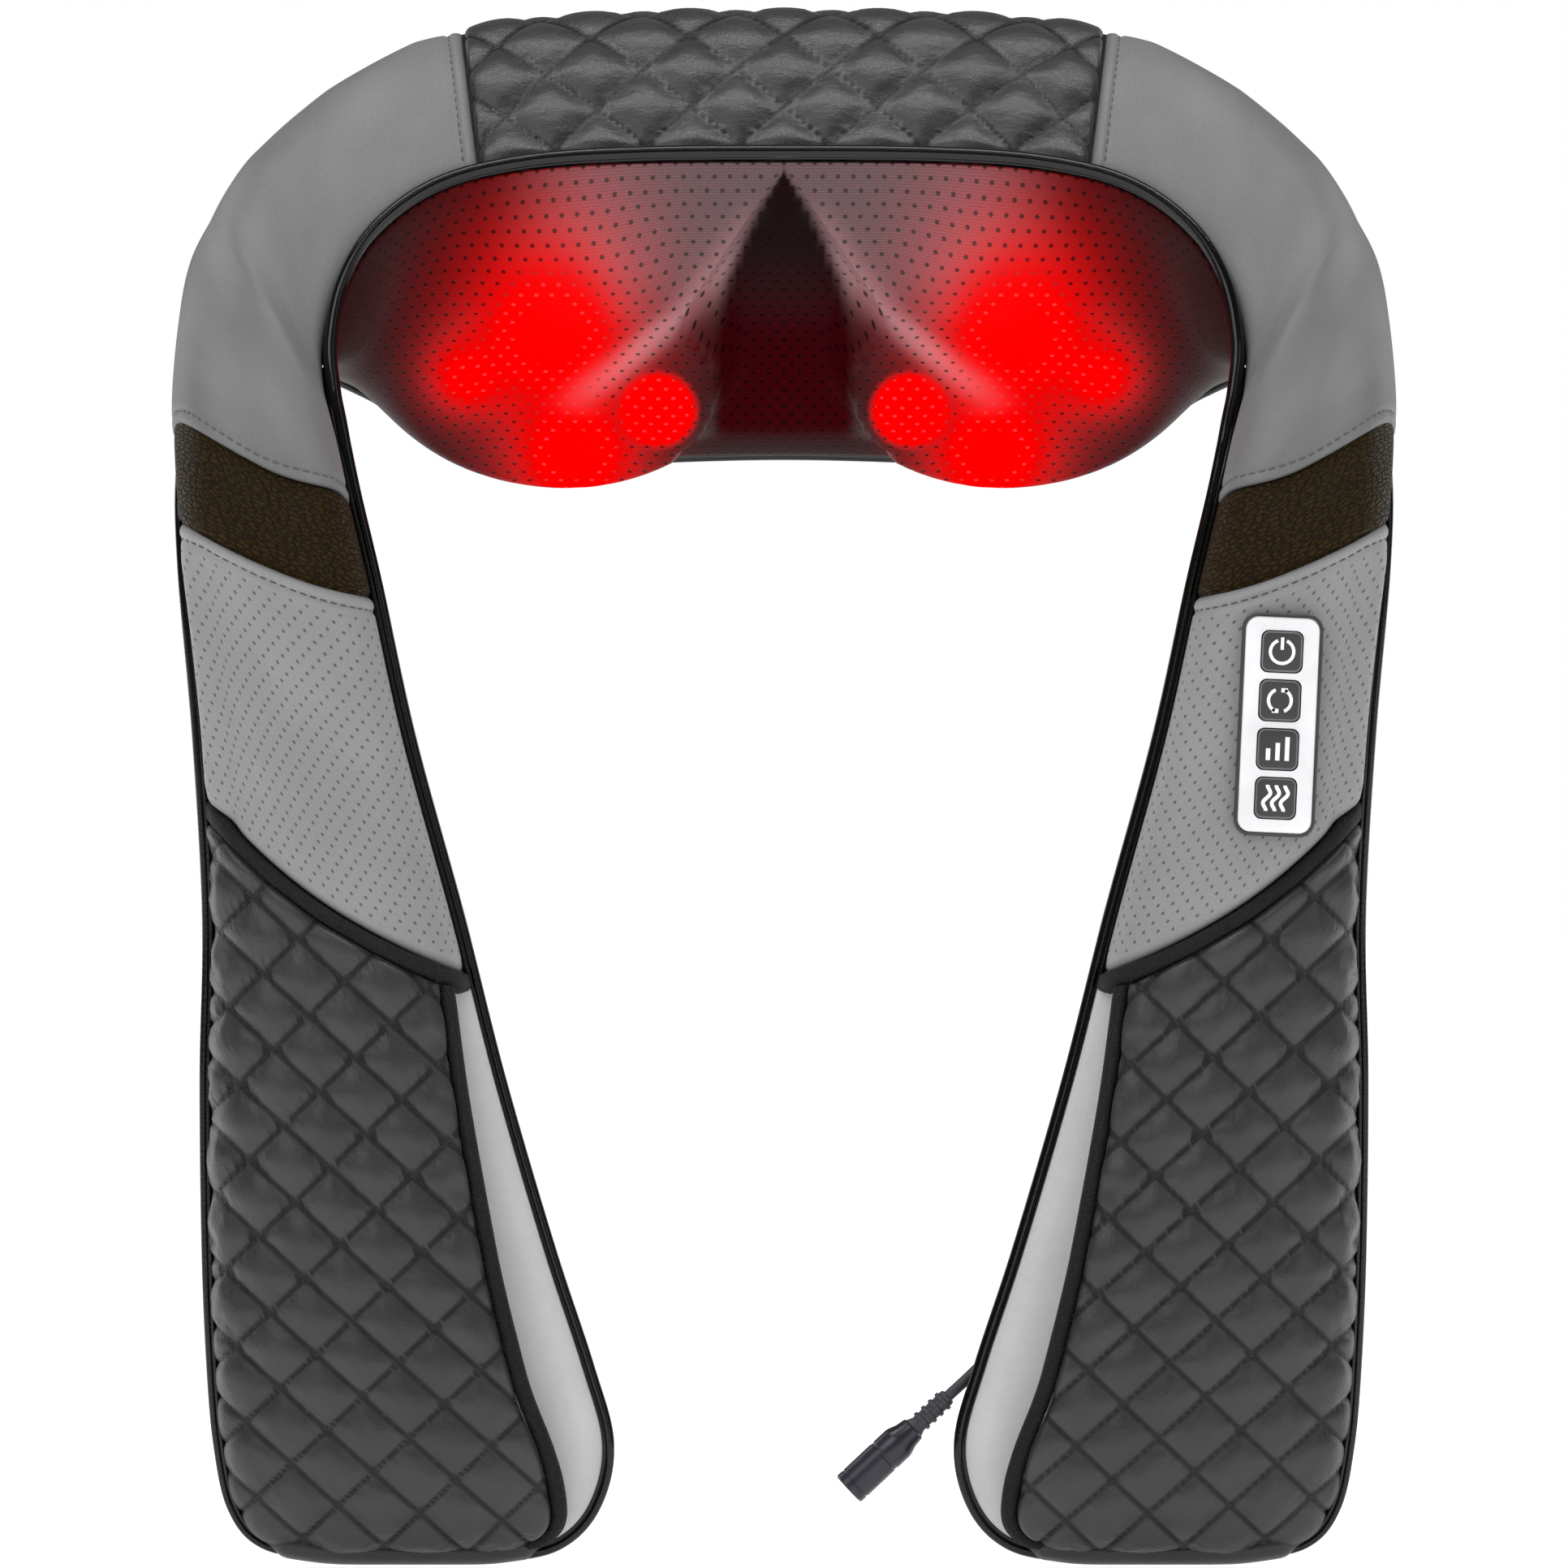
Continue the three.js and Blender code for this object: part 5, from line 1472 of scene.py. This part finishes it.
CAD_FINISHES = {
    "black_plastic": lambda: moulded("black_plastic", (26, 26, 28), 0.45),
    "grey_plastic": lambda: moulded("grey_plastic", (104, 107, 111), 0.5),
    "red_lens": lambda: moulded("red_lens", (170, 10, 12), 0.25, Coat_Weight=0.6, Subsurface_Weight=0.2),
    "steel": lambda: brushed("steel", (150, 152, 156)),
    "brass": lambda: brushed("brass", (176, 141, 74), 0.35),
    "nylon": lambda: moulded("nylon", (226, 220, 204), 0.5),
    "circuit": lambda: circuit_board("circuit"),
}


def finish_cad_nodes():
    """A procedural finish on every CAD node that stays visible, by its slot in the record."""
    made = {}
    for part in frame["record"]["subparts"]:
        slot = part["material_slot"]
        if slot not in CAD_FINISHES:
            continue
        if slot not in made:
            made[slot] = CAD_FINISHES[slot]()
        node = frame["nodes"][part["node"]]
        node.data.materials.clear()
        node.data.materials.append(made[slot])


# ---------- studio ----------
# Place, size and watts.
LIGHTS = {
    "key": ((-0.9, -1.7, 1.5), (1.4, 1.0), 13),
    "fill": ((1.3, -1.6, 0.6), (1.2, 1.6), 5),
    "top": ((0.0, -0.25, 1.6), (1.6, 0.8), 9),
    "strip": ((0.0, -0.15, 1.5), (2.2, 0.04), 7),
    "rim_left": ((-1.2, 0.9, 0.7), (0.5, 1.4), 5),
    "rim_right": ((1.2, 0.9, 0.7), (0.5, 1.4), 5),
}
VIEW_HEIGHT = 0.483  # metres from the frame's bottom to its top
FRONT_PLANE = 0.03  # metres behind the foremost point, where the view has that height


def area_light(name, target, place, size, power):
    data = bpy.data.lights.new(name, "AREA")
    data.shape = "RECTANGLE"
    data.size, data.size_y = size
    data.energy = power
    light = placed(name, data)
    light.location = place
    light.rotation_euler = (Vector(target) - Vector(place)).to_track_quat("-Z", "Y").to_euler()


def pale_floor():
    """A pale floor that fades into the white surroundings far from the object."""
    turn = np.linspace(0, 2 * np.pi, 97)[:-1]
    radii = [0.4, 1.0, 3.0, 9.0, 27.0]
    points = [(0, 0, 0)] + [(r * math.cos(a), r * math.sin(a), 0) for r in radii for a in turn]
    n = len(turn)
    faces = [(0, 1 + i, 1 + (i + 1) % n) for i in range(n)]
    for ring in range(len(radii) - 1):
        a = 1 + ring * n
        faces += [(a + i, a + n + i, a + n + (i + 1) % n, a + (i + 1) % n) for i in range(n)]
    mesh = bpy.data.meshes.new("floor")
    mesh.from_pydata(points, [], faces)
    floor = placed("floor", mesh)
    floor.location.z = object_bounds()[0].z - 0.0005
    m = Nodes("floor_paper", 0.9, Specular_IOR_Level=0.1)
    distance = m.vector("LENGTH", m.place(), output="Value")
    m.set(Base_Color=rgb(238), Emission_Color=(1, 1, 1, 1))
    m.set(Emission_Strength=m.ramp(distance, 0.1, 1.2, 0.5, 1.0))
    mesh.materials.append(m.material)


def ray_strength(tree, ray, others, these):
    """The surroundings' strength for one kind of ray and for all others."""
    strength = tree.nodes.new("ShaderNodeMapRange")
    tree.links.new(tree.nodes.new("ShaderNodeLightPath").outputs[ray], strength.inputs["Value"])
    strength.inputs["To Min"].default_value = others
    strength.inputs["To Max"].default_value = these
    return strength.outputs[0]


def white_surroundings(world):
    """White to the camera, softer as a light, and dim in glossy surfaces."""
    world.use_nodes = True
    tree = world.node_tree
    background = tree.nodes["Background"].inputs
    background["Color"].default_value = (1, 1, 1, 1)
    both = tree.nodes.new("ShaderNodeMath")
    both.operation = "MULTIPLY"
    tree.links.new(ray_strength(tree, "Is Camera Ray", 0.32, 1.0), both.inputs[0])
    tree.links.new(ray_strength(tree, "Is Glossy Ray", 1.0, 0.22), both.inputs[1])
    tree.links.new(both.outputs[0], background["Strength"])


def build_studio():
    scene = bpy.context.scene
    scene.view_settings.view_transform = "Standard"
    scene.world = bpy.data.worlds.new("studio")
    white_surroundings(scene.world)
    low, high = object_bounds()
    middle = (low + high) / 2
    for name, settings in LIGHTS.items():
        area_light(name, middle, *settings)
    pale_floor()
    camera = placed("camera", bpy.data.cameras.new("camera"))
    camera.data.lens = 500
    camera.data.clip_end = 100
    distance = VIEW_HEIGHT * camera.data.lens / camera.data.sensor_width
    camera.location = (0, low.y + FRONT_PLANE - distance, VIEW_HEIGHT / 2)
    camera.rotation_euler = (math.pi / 2, 0, 0)
    scene.camera = camera


# ---------- everything ----------
MATERIALS = make_materials()
finish_cad_nodes()
build_collar()
build_arms()
build_panel()
build_cable()
build_studio()
